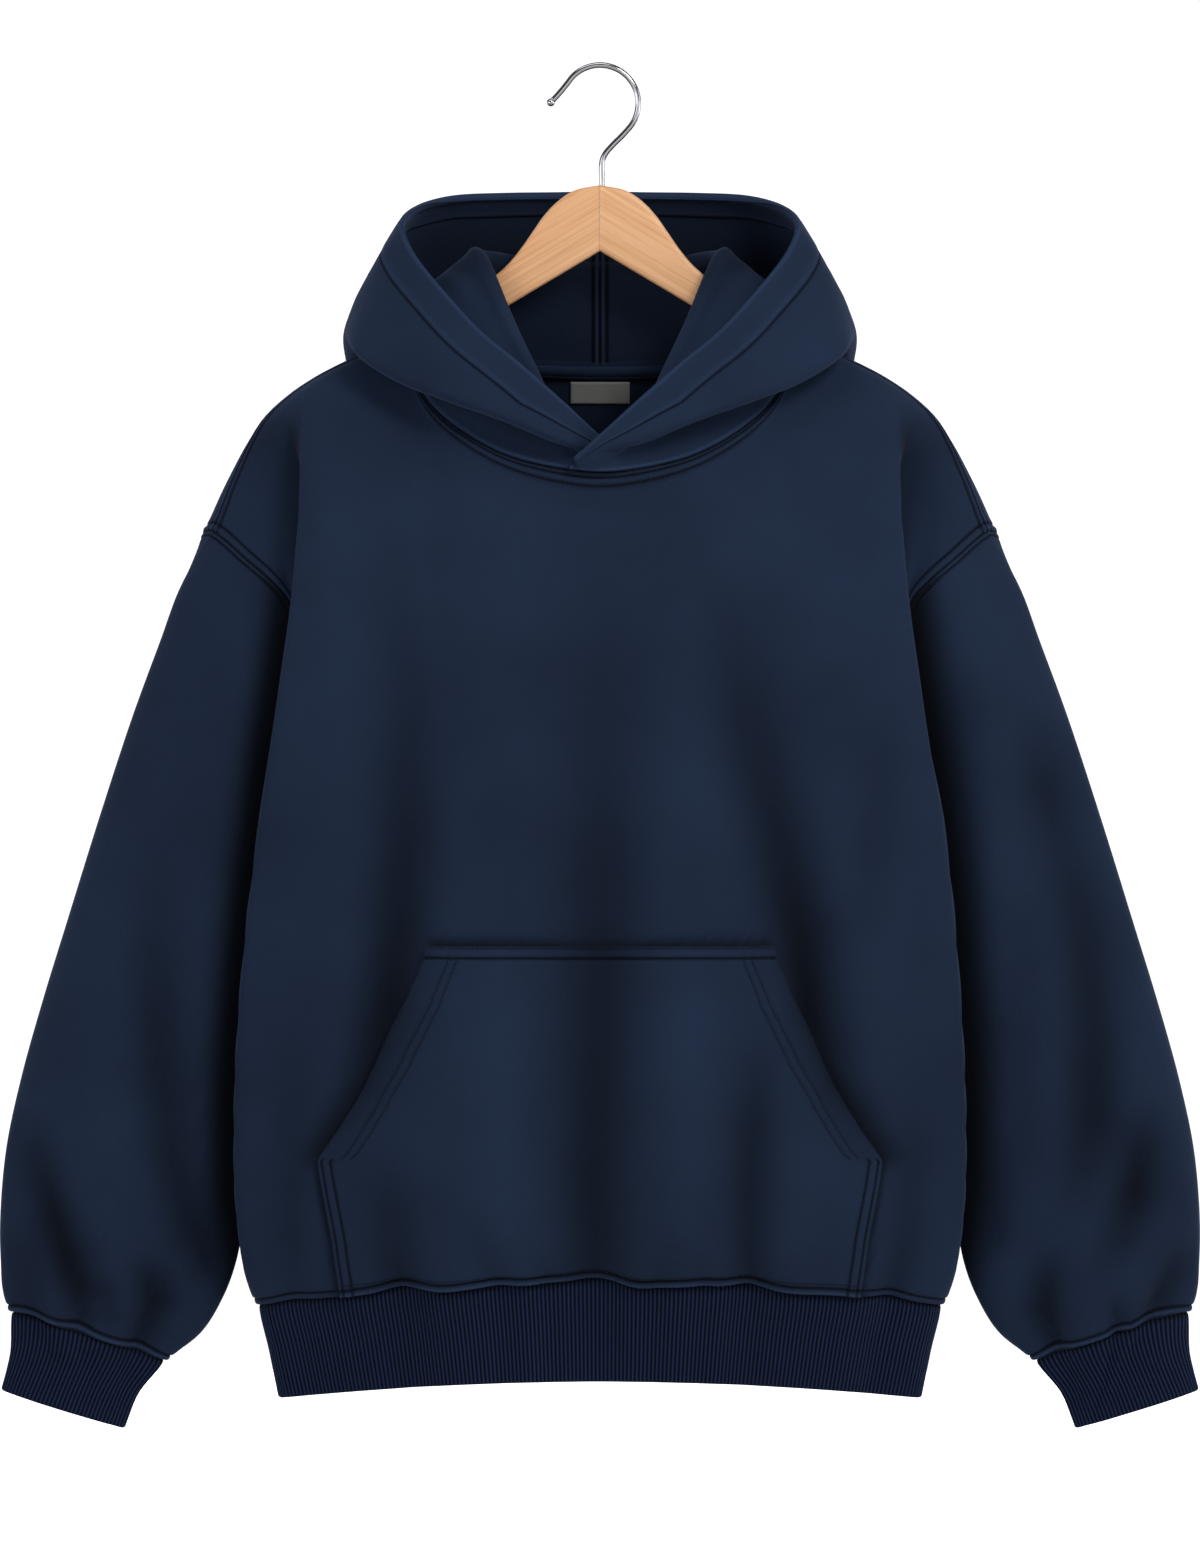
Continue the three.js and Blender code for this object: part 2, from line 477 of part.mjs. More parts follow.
// A knitted band between closed rings: ribs stand out of the outer wall and the inside is plain.
function ribbedBand(rings, flip) {
  const middle = rings[rings.length - 1];
  const length = middle.reduce((sum, p, i) => sum + p.distanceTo(middle[(i + 1) % middle.length]), 0);
  const facets = Math.round((2 * length) / RIB_PITCH / RIB_FACES_PER_INNER / 2) * RIB_FACES_PER_INNER * 2;
  const sampled = rings.map((ring) => {
    const closedRing = [...ring, ring[0]];
    return Array.from({ length: facets }, (_, i) => atShare(closedRing, i / facets));
  });
  const normals = gridNormals(sampled, true, flip);
  const outer = sampled.map((ring, r) =>
    ring.map((p, i) => p.clone().addScaledVector(normals[r][i], i % 2 ? 0 : -RIB_RISE)),
  );
  const inner = sampled.map((ring, r) =>
    ring
      .filter((_, i) => i % RIB_FACES_PER_INNER === 0)
      .map((p, k) => p.clone().addScaledVector(normals[r][k * RIB_FACES_PER_INNER], -RIB_CLOTH - RIB_RISE)),
  );
  const positions = [...outer.flat(), ...inner.flat()].flatMap((p) => [p.x, p.y, p.z]);
  const insideFacets = facets / RIB_FACES_PER_INNER;
  const out = (r, i) => r * facets + (i % facets);
  const into = (r, k) => outer.length * facets + r * insideFacets + (k % insideFacets);
  const triangles = [];
  const triangle = (a, b, c) => triangles.push(...(flip ? [a, c, b] : [a, b, c]));
  const top = rings.length - 1;
  for (let r = 0; r < top; r++) {
    for (let i = 0; i < facets; i++) {
      triangle(out(r, i), out(r, i + 1), out(r + 1, i + 1));
      triangle(out(r, i), out(r + 1, i + 1), out(r + 1, i));
    }
    for (let k = 0; k < insideFacets; k++) {
      triangle(into(r, k), into(r + 1, k + 1), into(r, k + 1));
      triangle(into(r, k), into(r + 1, k), into(r + 1, k + 1));
    }
  }
  for (let k = 0; k < insideFacets; k++) {
    const start = k * RIB_FACES_PER_INNER;
    const middleFacet = start + RIB_FACES_PER_INNER / 2;
    for (let i = start; i < start + RIB_FACES_PER_INNER; i++) {
      const apex = i < middleFacet ? k : k + 1;
      triangle(out(0, i + 1), out(0, i), into(0, apex));
      triangle(out(top, i), out(top, i + 1), into(top, apex));
    }
    triangle(out(0, middleFacet), into(0, k), into(0, k + 1));
    triangle(out(top, middleFacet), into(top, k + 1), into(top, k));
  }
  return indexedGeometry(positions, triangles);
}

// The hem band hangs from the body's lower edge, front and back.
function hemRings(front, back) {
  const edge = [...front[0], ...back[0].slice(1, -1).reverse()];
  const top = edge.map((p) => {
    const inset = 1 - BAND_INSET / Math.hypot(p.x, p.y);
    return new THREE.Vector3(p.x * inset, p.y * inset, p.z - SEAM_GAP);
  });
  const narrower = HEM_BAND.bottomHalfWidth / LEVELS[0].sideX;
  const bottom = edge.map((p) => {
    const share = p.x / LEVELS[0].sideX;
    const z = HEM_BAND.bottomZ + HEM_BAND.bottomLift * (1 - share * share);
    return new THREE.Vector3(p.x * narrower, p.y * HEM_BAND.depthShare, z);
  });
  return [bottom, top];
}

function cuffRings(sleeve) {
  const end = sleeve[sleeve.length - 1];
  const centre = end.reduce((sum, p) => sum.add(p), new THREE.Vector3()).divideScalar(end.length);
  const first = CUFF_RINGS[0];
  const middle = new THREE.Vector3((first.outX + first.inX) / 2, 0, (first.outZ + first.inZ) / 2);
  const down = middle.sub(centre).normalize();
  const top = end.map((p) => {
    const outward = p.clone().sub(centre);
    return p.clone().addScaledVector(outward.normalize(), -BAND_INSET).addScaledVector(down, SEAM_GAP);
  });
  const shares = end.map((_, i) => i / end.length);
  return [top, ...CUFF_RINGS.map((ring) => sleeveRing(ring, shares))];
}

// The neck seam from the centre front (0) over the shoulder (0.5) to the centre back (1).
const neckFront = alongCurve(NECK_FRONT.map(point), NECK_FRONT.slice(1).map(() => 8));
const neckBack = alongCurve(NECK_BACK.map(point), NECK_BACK.slice(1).map(() => 8));
const neckLine = [
  ...Array.from({ length: SPAN_STEPS.chest }, (_, k) => atShare(neckFront, k / SPAN_STEPS.chest)),
  ...Array.from({ length: SPAN_STEPS.chest + 1 }, (_, k) => atShare(neckBack, 1 - k / SPAN_STEPS.chest)),
];
function neckSeam(at) {
  if (at < 0) return mirrored(neckSeam(-at));
  const place = at * (neckLine.length - 1);
  const k = Math.min(Math.floor(place + 1e-9), neckLine.length - 2);
  return between(neckLine[k], neckLine[k + 1], place - k);
}

// The hood's section at a station: neck seam, collar fold, roll and rim, with folds rounded square
// to the lines they run along.
function hoodSection(seam, peak, trough, rim, peakRun, troughRun, { x: peakWidth, y: troughWidth }, { x: swell, y: curl }) {
  const outward = trough.clone().sub(peak).setZ(0).normalize();
  const beside = (p, run, width, way, fold) => {
    const across = outward.clone().addScaledVector(run, -outward.dot(run)).normalize();
    const upward = new THREE.Vector3().crossVectors(across, run).normalize();
    if (upward.z < 0) upward.negate();
    return p.clone().addScaledVector(across, (way * width) / 2).addScaledVector(upward, (fold * width) / 2);
  };
  const peakIn = beside(peak, peakRun, peakWidth, -1, -1);
  const peakOut = beside(peak, peakRun, peakWidth, 1, -1);
  const troughIn = beside(trough, troughRun, troughWidth, -1, 1);
  const troughOut = beside(trough, troughRun, troughWidth, 1, 1);
  const brow = rim.clone().addScaledVector(outward, curl).add(new THREE.Vector3(0, 0, -1.2 * curl - 4));
  const layer = between(troughOut, brow, 0.5).addScaledVector(outward, swell);
  return [
    seam, between(seam, peakIn, 0.55), peakIn, peak, peakOut, between(peakOut, troughIn, 0.5),
    troughIn, trough, troughOut, layer, brow, rim,
  ];
}

function hoodGrid(side) {
  const knots = HOOD.map((station) => station.at);
  const readings = HOOD.map(({ peak, trough, rim, peakWidth, troughWidth, swell, curl }) => ({
    peak: point(peak),
    trough: point(trough),
    rim: point(rim),
    widths: new THREE.Vector3(peakWidth, troughWidth, 0),
    bends: new THREE.Vector3(swell, curl, 0),
  }));
  const steps = 2 * SPAN_STEPS.chest;
  const seamStations = Array.from({ length: steps + 1 }, (_, k) => k / steps);
  const stations = [knots[0], ...seamStations, ...HOOD_EXTRA].sort((a, b) => a - b);
  return stations.map((at) => {
    const read = (key, place = at) => throughKnots(knots, readings.map((r) => r[key]), place);
    const run = (key) => read(key, Math.min(at + 0.02, 1)).sub(read(key, at - 0.02)).normalize();
    const [seam, peak, trough, rim, widths] = [neckSeam(at), read("peak"), read("trough"), read("rim"), read("widths")];
    const spans = HOOD_SPANS.reduce((sum, count) => sum + count);
    const row =
      widths.y < 1 // a single layer, before the folds begin
        ? Array.from({ length: spans + 1 }, (_, k) => atShare([seam, peak, trough, rim], k / spans))
        : alongCurve(hoodSection(seam, peak, trough, rim, run("peak"), run("trough"), widths, read("bends")), HOOD_SPANS);
    return row.map((p, k) => {
      const reach = (HOOD_LAP.fadesX - p.x) / (HOOD_LAP.fadesX - HOOD_LAP.tipX);
      const lap = at < 0.5 ? HOOD_LAP.tip * rise(reach) : 0;
      const laid = new THREE.Vector3(side * p.x, p.y - side * lap, p.z);
      if (at === 1) laid.x = 0;
      return k === 0 && lap < 0.01 ? new THREE.Vector3(side * p.x, p.y, p.z) : laid;
    });
  });
}

// A value at one place on a smooth curve through vectors that stand at stated knots.
function throughKnots(knots, values, at) {
  const last = knots.length - 1;
  let i = 0;
  while (i < last - 1 && at > knots[i + 1]) i++;
  const chord = (k) => values[k + 1].clone().sub(values[k]).divideScalar(knots[k + 1] - knots[k]);
  const slope = (k) => {
    if (k === 0) return chord(0);
    if (k === last) return chord(last - 1);
    const before = knots[k] - knots[k - 1];
    const after = knots[k + 1] - knots[k];
    return chord(k - 1).multiplyScalar(after).addScaledVector(chord(k), before).divideScalar(before + after);
  };
  const h = knots[i + 1] - knots[i];
  const t = (at - knots[i]) / h;
  return new THREE.Vector3()
    .addScaledVector(values[i], 1 + t * t * (2 * t - 3))
    .addScaledVector(slope(i), h * t * (1 - t) * (1 - t))
    .addScaledVector(values[i + 1], t * t * (3 - 2 * t))
    .addScaledVector(slope(i + 1), h * t * t * (t - 1));
}

// The outer point and normal of a panel at a place in the front view, or null beside the panel.
function onPanel(sheet, x, z) {
  const { outer, normals } = sheet;
  for (let r = 0; r < outer.length - 1; r++)
    for (let c = 0; c < outer[r].length - 1; c++) {
      const corners = [[r, c], [r, c + 1], [r + 1, c + 1], [r + 1, c]];
      for (const [i, j, k] of [[0, 1, 2], [0, 2, 3]]) {
        const [a, b, d] = [i, j, k].map((n) => outer[corners[n][0]][corners[n][1]]);
        const area = (b.x - a.x) * (d.z - a.z) - (d.x - a.x) * (b.z - a.z);
        if (Math.abs(area) < 1e-9) continue;
        const v = ((x - a.x) * (d.z - a.z) - (d.x - a.x) * (z - a.z)) / area;
        const w = ((b.x - a.x) * (z - a.z) - (x - a.x) * (b.z - a.z)) / area;
        if (v < -1e-6 || w < -1e-6 || v + w > 1 + 1e-6) continue;
        const blend = (list) => {
          const [p, q, s] = [i, j, k].map((n) => list[corners[n][0]][corners[n][1]]);
          return p.clone().multiplyScalar(1 - v - w).addScaledVector(q, v).addScaledVector(s, w);
        };
        return { at: blend(outer), normal: blend(normals).normalize() };
      }
    }
  return null;
}

// Raises a patch until its flat facets clear the panel it lies on.
function settle(sheet, rows) {
  const place = ({ x, z, gap }) => {
    const { at, normal } = onPanel(sheet, x, z);
    return at.addScaledVector(normal, gap);
  };
  const tests = [[0.5, 0], [0, 0.5], [0.5, 0.5], [0.25, 0.75], [0.75, 0.25], [1, 0.5], [0.5, 1]];
  for (let round = 0; round < 4; round++)
    for (let r = 0; r < rows.length - 1; r++)
      for (let c = 0; c < rows[r].length - 1; c++) {
        const corners = [rows[r][c], rows[r][c + 1], rows[r + 1][c], rows[r + 1][c + 1]];
        const [a, b, d, e] = corners.map(place);
        let short = 0;
        for (const [s, t] of tests) {
          const p = between(between(a, b, s), between(d, e, s), t);
          const under = onPanel(sheet, p.x, p.z);
          if (under) short = Math.max(short, LEAST_GAP - p.sub(under.at).dot(under.normal));
        }
        for (const corner of corners) corner.gap += short;
      }
  return rows;
}

// A patch that lies on a panel: rows of {x, z, gap} turned into a wall of the given thickness.
function patchGeometry(sheet, rows, thickness, inside) {
  const lay = (extra) =>
    rows.map((row) =>
      row.map(({ x, z, gap }) => {
        const { at, normal } = onPanel(sheet, x, z);
        const height = inside ? -(FLEECE + gap + extra) : gap + extra;
        return at.addScaledVector(normal, height);
      }),
    );
  const far = lay(thickness);
  const near = lay(0);
  return wallGeometry(far, near, false, inside !== sheet.flip);
}

function pocketRows(frontGrid) {
  const corner = POCKET_CORNER;
  return [...POCKET].reverse().map(({ z, halfWidth }, fromBottom) => {
    const r = POCKET.length - 1 - fromBottom;
    return Array.from({ length: POCKET_COLUMNS + 1 }, (_, c) => {
      const share = (2 * c) / POCKET_COLUMNS - 1;
      const x = share * halfWidth;
      const down = Math.min(1, (POCKET[0].z - z) / (POCKET[0].z - POCKET[corner].z));
      const opening = Math.sin(Math.PI * down) ** 2;
      const middle = Math.sin((Math.PI * r) / (POCKET.length - 1)) * (1 - share ** 4);
      const gap = POCKET_SEWN_GAP + POCKET_LIP * opening * Math.abs(share) ** 6 + POCKET_EASE * middle;
      const seam = fromBottom === 0 ? hemSeamHeight(frontGrid, x) + POCKET_ABOVE_HEM : z;
      return { x, z: seam, gap };
    });
  });
}

// Height of the front's hem seam at x, along its lowest row.
function hemSeamHeight(frontGrid, x) {
  const row = frontGrid[0];
  let c = 1;
  while (c < row.length - 1 && row[c].x < x) c++;
  const a = row[c - 1];
  const b = row[c];
  return a.z + ((b.z - a.z) * (x - a.x)) / (b.x - a.x);
}

function labelRows() {
  return [LABEL.bottom, LABEL.top].map((z) =>
    [-1, -0.5, 0, 0.5, 1].map((share) => ({ x: share * LABEL.halfWidth, z, gap: SEAM_GAP + 0.1 })),
  );
}

// The hood's station that starts at a point of the neck seam, on either half.
function hoodStationAt(hood, seamPoint) {
  const away = hood.outer.map((row) => Math.hypot(row[0].x - Math.abs(seamPoint.x), row[0].y - seamPoint.y));
  return away.indexOf(Math.min(...away));
}

// The tape that covers the back neck seam inside, from one shoulder to the other.
function tapeGeometry(back, hood) {
  const top = back.outer.length - 1;
  const middle = (back.outer[0].length - 1) / 2;
  const reachColumns = Math.round(2 * (1 - TAPE.from) * SPAN_STEPS.chest);
  const rows = [[], [], []];
  const deep = [[], [], []];
  for (let c = middle - reachColumns; c <= middle + reachColumns; c++) {
    const station = hoodStationAt(hood, back.outer[top][c]);
    const onSide = (p) => (c < middle ? mirrored(p) : p.clone());
    const seam = { at: back.outer[top][c], normal: back.normals[top][c] };
    const below = { at: back.outer[top - 1][c], normal: back.normals[top - 1][c] };
    const above = { at: onSide(hood.outer[station][1]), normal: onSide(hood.normals[station][1]) };
    [[below, TAPE.below], [below, 0], [above, TAPE.above]].forEach(([next, reach], r) => {
      const share = reach / seam.at.distanceTo(next.at);
      const into = between(seam.normal, next.normal, share).normalize().negate();
      const near = between(seam.at, next.at, share).addScaledVector(into, FLEECE + TAPE.gap);
      rows[r].push(near);
      deep[r].push(near.clone().addScaledVector(into, TAPE.thickness));
    });
  }
  return wallGeometry(rows, deep, false, back.flip);
}

// A closed three.js geometry as a manifold-3d solid, and back.
function solidOf(geometry) {
  const bare = new THREE.BufferGeometry();
  const source = geometry.index ? geometry.toNonIndexed() : geometry;
  bare.setAttribute("position", source.getAttribute("position"));
  const merged = mergeVertices(bare, 1e-4);
  const mesh = new wasm.Mesh({
    numProp: 3,
    vertProperties: merged.attributes.position.array,
    triVerts: new Uint32Array(merged.index.array),
  });
  return new wasm.Manifold(mesh);
}

function geometryOf(solid) {
  const { vertProperties, triVerts } = solid.getMesh();
  return indexedGeometry(vertProperties, Array.from(triVerts));
}

// Half of the hanger's outline in the front view, from the top centre out along the upper edge. The
// arm follows the shoulder seam, under the cloth.
function woodOutline() {
  const underCloth = SHOULDER_SEAM.slice(1, 3).map(([x, , z]) => [x, z - WOOD_UNDER_SEAM]);
  const crown = [[0, WOOD_TOP], [17.6, -83.3], [29.3, -91.1], [38.4, -100.8], [46.2, -111.9], [55.4, -124.9], [64.5, -135.3], [76.2, -145], [92, -159.5], [110, -176], [130, -190.5]];
  const upper = [...crown, ...underCloth, [201, -221]];
  const tip = [[206, -228], [203, -236]];
  const lower = [[190, -238.5], [68.3, -165.3], [0, -124.6]];
  return { upper, tip, lower };
}

function woodGeometry() {
  const { upper, tip, lower } = woodOutline();
  const smooth = alongCurve(
    [...upper, ...tip, lower[0]].map(([x, z]) => new THREE.Vector3(x, z, 0)),
    [...upper, ...tip].map(() => 2),
  ).map((p) => [p.x, p.y]);
  const right = [...smooth, lower[1]];
  const left = right.slice(1).reverse().map(([x, z]) => [-x, z]);
  const shape = new THREE.Shape();
  const outline = [...right, lower[2], ...left].reverse();
  shape.setFromPoints(outline.map(([x, z]) => new THREE.Vector2(x, z)));
  const plank = new THREE.ExtrudeGeometry(shape, {
    depth: WOOD_THICKNESS - 2 * WOOD_BEVEL,
    bevelEnabled: true,
    bevelThickness: WOOD_BEVEL,
    bevelSize: WOOD_BEVEL,
    bevelOffset: -WOOD_BEVEL,
    bevelSegments: 2,
  });
  plank.translate(0, 0, WOOD_BEVEL - WOOD_THICKNESS / 2);
  plank.rotateX(Math.PI / 2);
  const hole = new THREE.CylinderGeometry(WIRE_RADIUS + SEAM_GAP, WIRE_RADIUS + SEAM_GAP, 2 * STEM_DEPTH + 2, 12);
  hole.rotateX(Math.PI / 2);
  hole.translate(STEM_X, 0, WOOD_TOP);
  return geometryOf(solidOf(plank).subtract(solidOf(hole)));
}

function hookGeometry() {
  const centreZ = WIRE_RADIUS - HOOK_RADIUS;
  const line = [[STEM_X, WOOD_TOP - STEM_DEPTH], [STEM_X, WOOD_TOP], [STEM_X, -64], [3.4, -58.6], [8.4, -52.6], [15.6, -45.4]];
  for (let degrees = -32; degrees <= 148; degrees += 15) {
    const angle = THREE.MathUtils.degToRad(degrees);
    line.push([HOOK_RADIUS * Math.cos(angle), centreZ + HOOK_RADIUS * Math.sin(angle)]);
  }
  const end = [-32.2, -22];
  line.push([-27.6, -17], end);
  const path = new THREE.CatmullRomCurve3(line.map(([x, z]) => new THREE.Vector3(x, 0, z)), false, "centripetal");
  const section = new THREE.Shape();
  const sides = 8;
  const corners = Array.from({ length: sides }, (_, i) => {
    const angle = (2 * Math.PI * i) / sides;
    return new THREE.Vector2(WIRE_RADIUS * Math.cos(angle), WIRE_RADIUS * Math.sin(angle));
  });
  section.setFromPoints(corners);
  const wire = new THREE.ExtrudeGeometry(section, { steps: 40, bevelEnabled: false, extrudePath: path });
  const knob = new THREE.SphereGeometry(1.4 * WIRE_RADIUS, 10, 8);
  knob.translate(end[0], 0, end[1]);
  return geometryOf(solidOf(wire).add(solidOf(knob)));
}

const navy = new THREE.MeshStandardMaterial({ color: 0x1e2a40, roughness: 0.95, metalness: 0 });
const knit = new THREE.MeshStandardMaterial({ color: 0x18213f, roughness: 0.95, metalness: 0 });
const grey = new THREE.MeshStandardMaterial({ color: 0x4c4c4c, roughness: 0.7, metalness: 0 });
const wood = new THREE.MeshStandardMaterial({ color: 0xdaa878, roughness: 0.45, metalness: 0 });
const chrome = new THREE.MeshStandardMaterial({ color: 0xc9c9c9, roughness: 0.15, metalness: 1 });

const hoodie = new THREE.Group();
function piece(name, geometry, material) {
  const mesh = new THREE.Mesh(geometry, material);
  mesh.name = name;
  hoodie.add(mesh);
}

const frontGrid = panelGrid(-1, FRONT_YOKE, NECK_FRONT, FRONT_TROUGHS, HEM_DIPS.front);
const backGrid = panelGrid(1, BACK_YOKE, NECK_BACK, BACK_TROUGHS, HEM_DIPS.back);
const leftSleeveGrid = sleeveGrid(frontGrid, backGrid);
const rightSleeveGrid = leftSleeveGrid.map((ring) => ring.map(mirrored));
const sheets = {
  front: new Sheet(frontGrid),
  back: new Sheet(backGrid, { flip: true }),
  sleeve_left: new Sheet(leftSleeveGrid, { closed: true, group: "sleeve" }),
  sleeve_right: new Sheet(rightSleeveGrid, { closed: true, flip: true, group: "sleeve" }),
  hood_left: new Sheet(hoodGrid(1), { flip: true }),
  hood_right: new Sheet(hoodGrid(-1)),
};
for (const [name, sheet] of Object.entries(sheets)) piece(name, sheet.thicken(FLEECE), navy);

const pocket = settle(sheets.front, pocketRows(frontGrid));
piece("pocket", patchGeometry(sheets.front, pocket, FLEECE, false), navy);
piece("hem_band", ribbedBand(hemRings(frontGrid, backGrid), false), knit);
const leftCuff = cuffRings(leftSleeveGrid);
piece("cuff_left", ribbedBand(leftCuff, false), knit);
piece("cuff_right", ribbedBand(leftCuff.map((ring) => ring.map(mirrored)), true), knit);
piece("neck_tape", tapeGeometry(sheets.back, sheets.hood_left), navy);
piece("label", patchGeometry(sheets.back, labelRows(), LABEL.thickness, true), grey);
piece("hanger", woodGeometry(), wood);
piece("hook", hookGeometry(), chrome);

export default hoodie;
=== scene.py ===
# A pullover hoodie of thick navy fleece, hung on a wooden coat hanger with a wire hook.
# Tables and shapes are in millimetres, as in the part's source, and turned into metres at the end.
import math

import bpy
import numpy as np
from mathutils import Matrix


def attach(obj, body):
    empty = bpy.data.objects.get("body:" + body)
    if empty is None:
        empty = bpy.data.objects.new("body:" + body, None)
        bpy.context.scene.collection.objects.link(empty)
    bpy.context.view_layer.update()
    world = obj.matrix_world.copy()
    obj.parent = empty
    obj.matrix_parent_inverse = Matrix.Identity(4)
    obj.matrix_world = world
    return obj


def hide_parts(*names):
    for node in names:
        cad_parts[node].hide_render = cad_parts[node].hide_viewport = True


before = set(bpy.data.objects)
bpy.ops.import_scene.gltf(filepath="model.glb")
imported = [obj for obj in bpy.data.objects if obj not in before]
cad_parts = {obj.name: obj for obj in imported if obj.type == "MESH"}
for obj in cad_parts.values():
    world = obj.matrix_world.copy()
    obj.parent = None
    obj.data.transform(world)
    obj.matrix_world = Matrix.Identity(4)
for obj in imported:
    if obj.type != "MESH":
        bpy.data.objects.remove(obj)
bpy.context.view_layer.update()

FLEECE = 2.4
SEAM_GAP = 0.3
RIB_CLOTH = 2.2
RIB_RISE = 0.75
RIB_PITCH = 2.8

# Body below the underarm, one row a level: depths on the centre line, the front edge that hides the
# sleeve (fold), halfway into the groove behind it (turn) and the side seam.
LEVELS = [
    # z, front, back, fold x, fold y, turn x, turn y, side x
    (-841, 68, 62, 226, 28, 231.5, 13, 232),
    (-828, 75, 69, 235, 32, 238.5, 15, 238),
    (-806, 82, 75, 242, 36, 242, 17, 238.5),
    (-766, 87, 79, 247.5, 40, 240, 19, 232),
    (-720, 88.5, 80, 248.5, 42, 234, 20, 222),
    (-675, 89, 80, 247.5, 43, 227, 20, 212),
    (-634, 88.5, 80, 245, 43.5, 221, 20, 205),
    (-590, 87.5, 79.5, 241, 44, 215, 20, 195.5),
    (-551, 86.5, 79, 236.6, 45, 210, 20, 188.5),
    (-495, 84.5, 77, 229, 46, 208, 20, 190),
]
LEVEL_SIDE_X = 7
BACK_FOLD_X = 0.975
BACK_FOLD_Y = 0.93
CHEST_AT = 0.47
BREAST_AT = 0.8

# Above the underarm: centre line, chest, breast, fold beside the sleeve, valley behind it, edge.
FRONT_YOKE = [
    [
        (0, -82.5, -455), (108, -75.5, -451), (180, -63, -450),
        (222, -48, -450), (205, -23, -448), (192, -13, -447),
    ],
    [
        (0, -80, -418), (109, -74, -410), (176, -62.5, -409),
        (215.5, -50, -408), (204, -33, -404), (199, -22, -402),
    ],
    [
        (0, -77, -384), (110, -71.5, -372), (172, -62, -369),
        (210, -51, -368), (202, -35, -364), (210.5, -29, -363),
    ],
    [
        (0, -73, -354), (113, -67, -335), (170, -61, -334),
        (206.5, -51, -335), (201, -31, -334), (223, -31, -349),
    ],
    [
        (0, -69, -330), (117, -60, -300), (168, -57, -301),
        (204, -50, -304), (199.5, -26, -303), (240, -28.5, -334.5),
    ],
    [
        (0, -65, -310), (121, -50, -266), (168, -50, -269),
        (202.5, -47, -277), (203.5, -25, -273), (252, -22, -323.5),
    ],
    [
        (0, -62, -295), (126, -37, -235), (168, -39, -242),
        (202, -39, -252), (212, -24, -250), (258, -17.5, -318.5),
    ],
    [
        (0, -60, -284), (130, -20, -203), (167, -22, -216),
        (199, -25, -230), (222, -17, -243.5), (261, -15, -316.5),
    ],
    [
        (0, -59, -279), (132, -9, -184.5), (165, -10, -200.5),
        (196.5, -12, -216), (227, -10.5, -241), (262.4, -13.8, -315.6),
    ],
]
BACK_YOKE = [
    [(0, 75, -462), (110, 71.5, -462), (183, 60, -462), (219, 42.5, -462), (207, 23, -463), (193, 9, -463)],
    [(0, 73, -425), (112, 70, -425), (181, 59, -426), (217, 43, -428), (209, 28, -430), (199, 19, -432)],
    [(0, 69.5, -385), (114, 67, -383), (178, 57, -385), (216, 43, -388), (213, 33, -394), (208, 27, -402)],
    [(0, 65, -342), (116, 62, -336), (176, 54, -340), (213, 43, -348), (219, 37, -358), (223, 32, -373)],
    [(0, 60, -302), (120, 55, -290), (174, 48, -296), (211, 41, -308), (227, 36, -326), (240, 31, -352)],
    [(0, 55, -268), (124, 45, -248), (172, 40, -258), (208, 35, -272), (235, 30, -294), (256, 25, -337)],
    [(0, 50, -242), (128, 33, -215), (169, 30, -228), (204, 27, -243), (238, 23, -268), (266, 16, -325)],
    [(0, 46, -224), (131, 20, -195), (167, 19, -209), (200, 18, -225), (236.5, 14, -252), (270, 6, -318)],
    [
        (0, 42, -212), (132, 9, -184), (165, 9.5, -200),
        (197, 8.5, -215), (233, 4, -244.5), (268.5, -4, -315.5),
    ],
]
NECK_FRONT = [
    (0, -58.5, -276), (43, -60, -270.6), (79, -53, -257.7), (110, -38, -235),
    (124, -25, -219.4), (131, -11, -198), (132, 0, -178),
]
NECK_BACK = [
    (0, 38, -203), (42, 36.5, -201.5), (75, 32, -197.5), (110, 22, -189), (126, 11, -182), (132, 0, -178),
]
SHOULDER_SEAM = [(132, 0, -178), (163, 0, -194.5), (194, -1.5, -210.3), (230, -5.5, -240.5), (263, -13, -315)]
PANEL_STEPS = (6, 4, 2, 2, 2)
# Painted shade in a fold for each millimetre of its depth, painted highlight where it stands out, and how
# much wider each fold is than its table says.
PAINTED_FOLD_SHADE = 0.056
BROADER = 1.22
# Lightest value of a cloth's painted shade: values run from here, the strongest painted highlight, over 0 to
# 1, the darkest painted shade.
LIGHTEST = -0.8
# Rows and columns between the close steps at the edges of a grid.
PANEL_GRID = (96, 108)
SLEEVE_GRID = 104
HOOD_GRID = (110, 84)
POCKET_GRID = (116, 28, 22, 62)
SMOOTHING_ROUNDS = 90
HEM_LIFT = 15
HEM_LIFT_FADES_AT = 100
# x, dip, width
FRONT_HEM_DIPS = [(-105, 2, 17), (30, 4, 19), (128, 1.5, 20)]
BACK_HEM_DIPS = [(-64, 4, 18), (88, 4, 20)]
BAND_INSET = 1.2
# The band's upper edge goes this far inside the seam above it, and up behind it.
TUCK_IN = 2.2
TUCK_UP = 1.6
BAND_BOTTOM = {"half_width": 218, "z": -904, "lift": 12, "depth_share": 0.86}

# Sleeve and cuff rings: outer x and z, inner x and z, half thickness to the front and the back.
SLEEVE_RINGS = [
    (284, -350, 203, -512, 31, 33), (300, -392, 205.5, -540, 33, 36), (318, -441, 208.5, -572, 35, 38),
    (340, -508, 213, -611, 37, 40), (363, -582, 220, -658, 39, 42), (379, -634, 226, -695, 40, 42),
    (394, -688, 233, -735, 41, 42), (404, -736, 240, -772, 41, 42), (408, -785, 247, -812, 41, 42),
    (407.5, -812, 256, -836, 41, 41), (406, -832, 271, -860, 38, 38), (400.5, -846, 296, -879, 28, 28),
]
SLEEVE_PINCH = 0.5
CUFF_END = (407, -899, 323.5, -925, 24, 24)

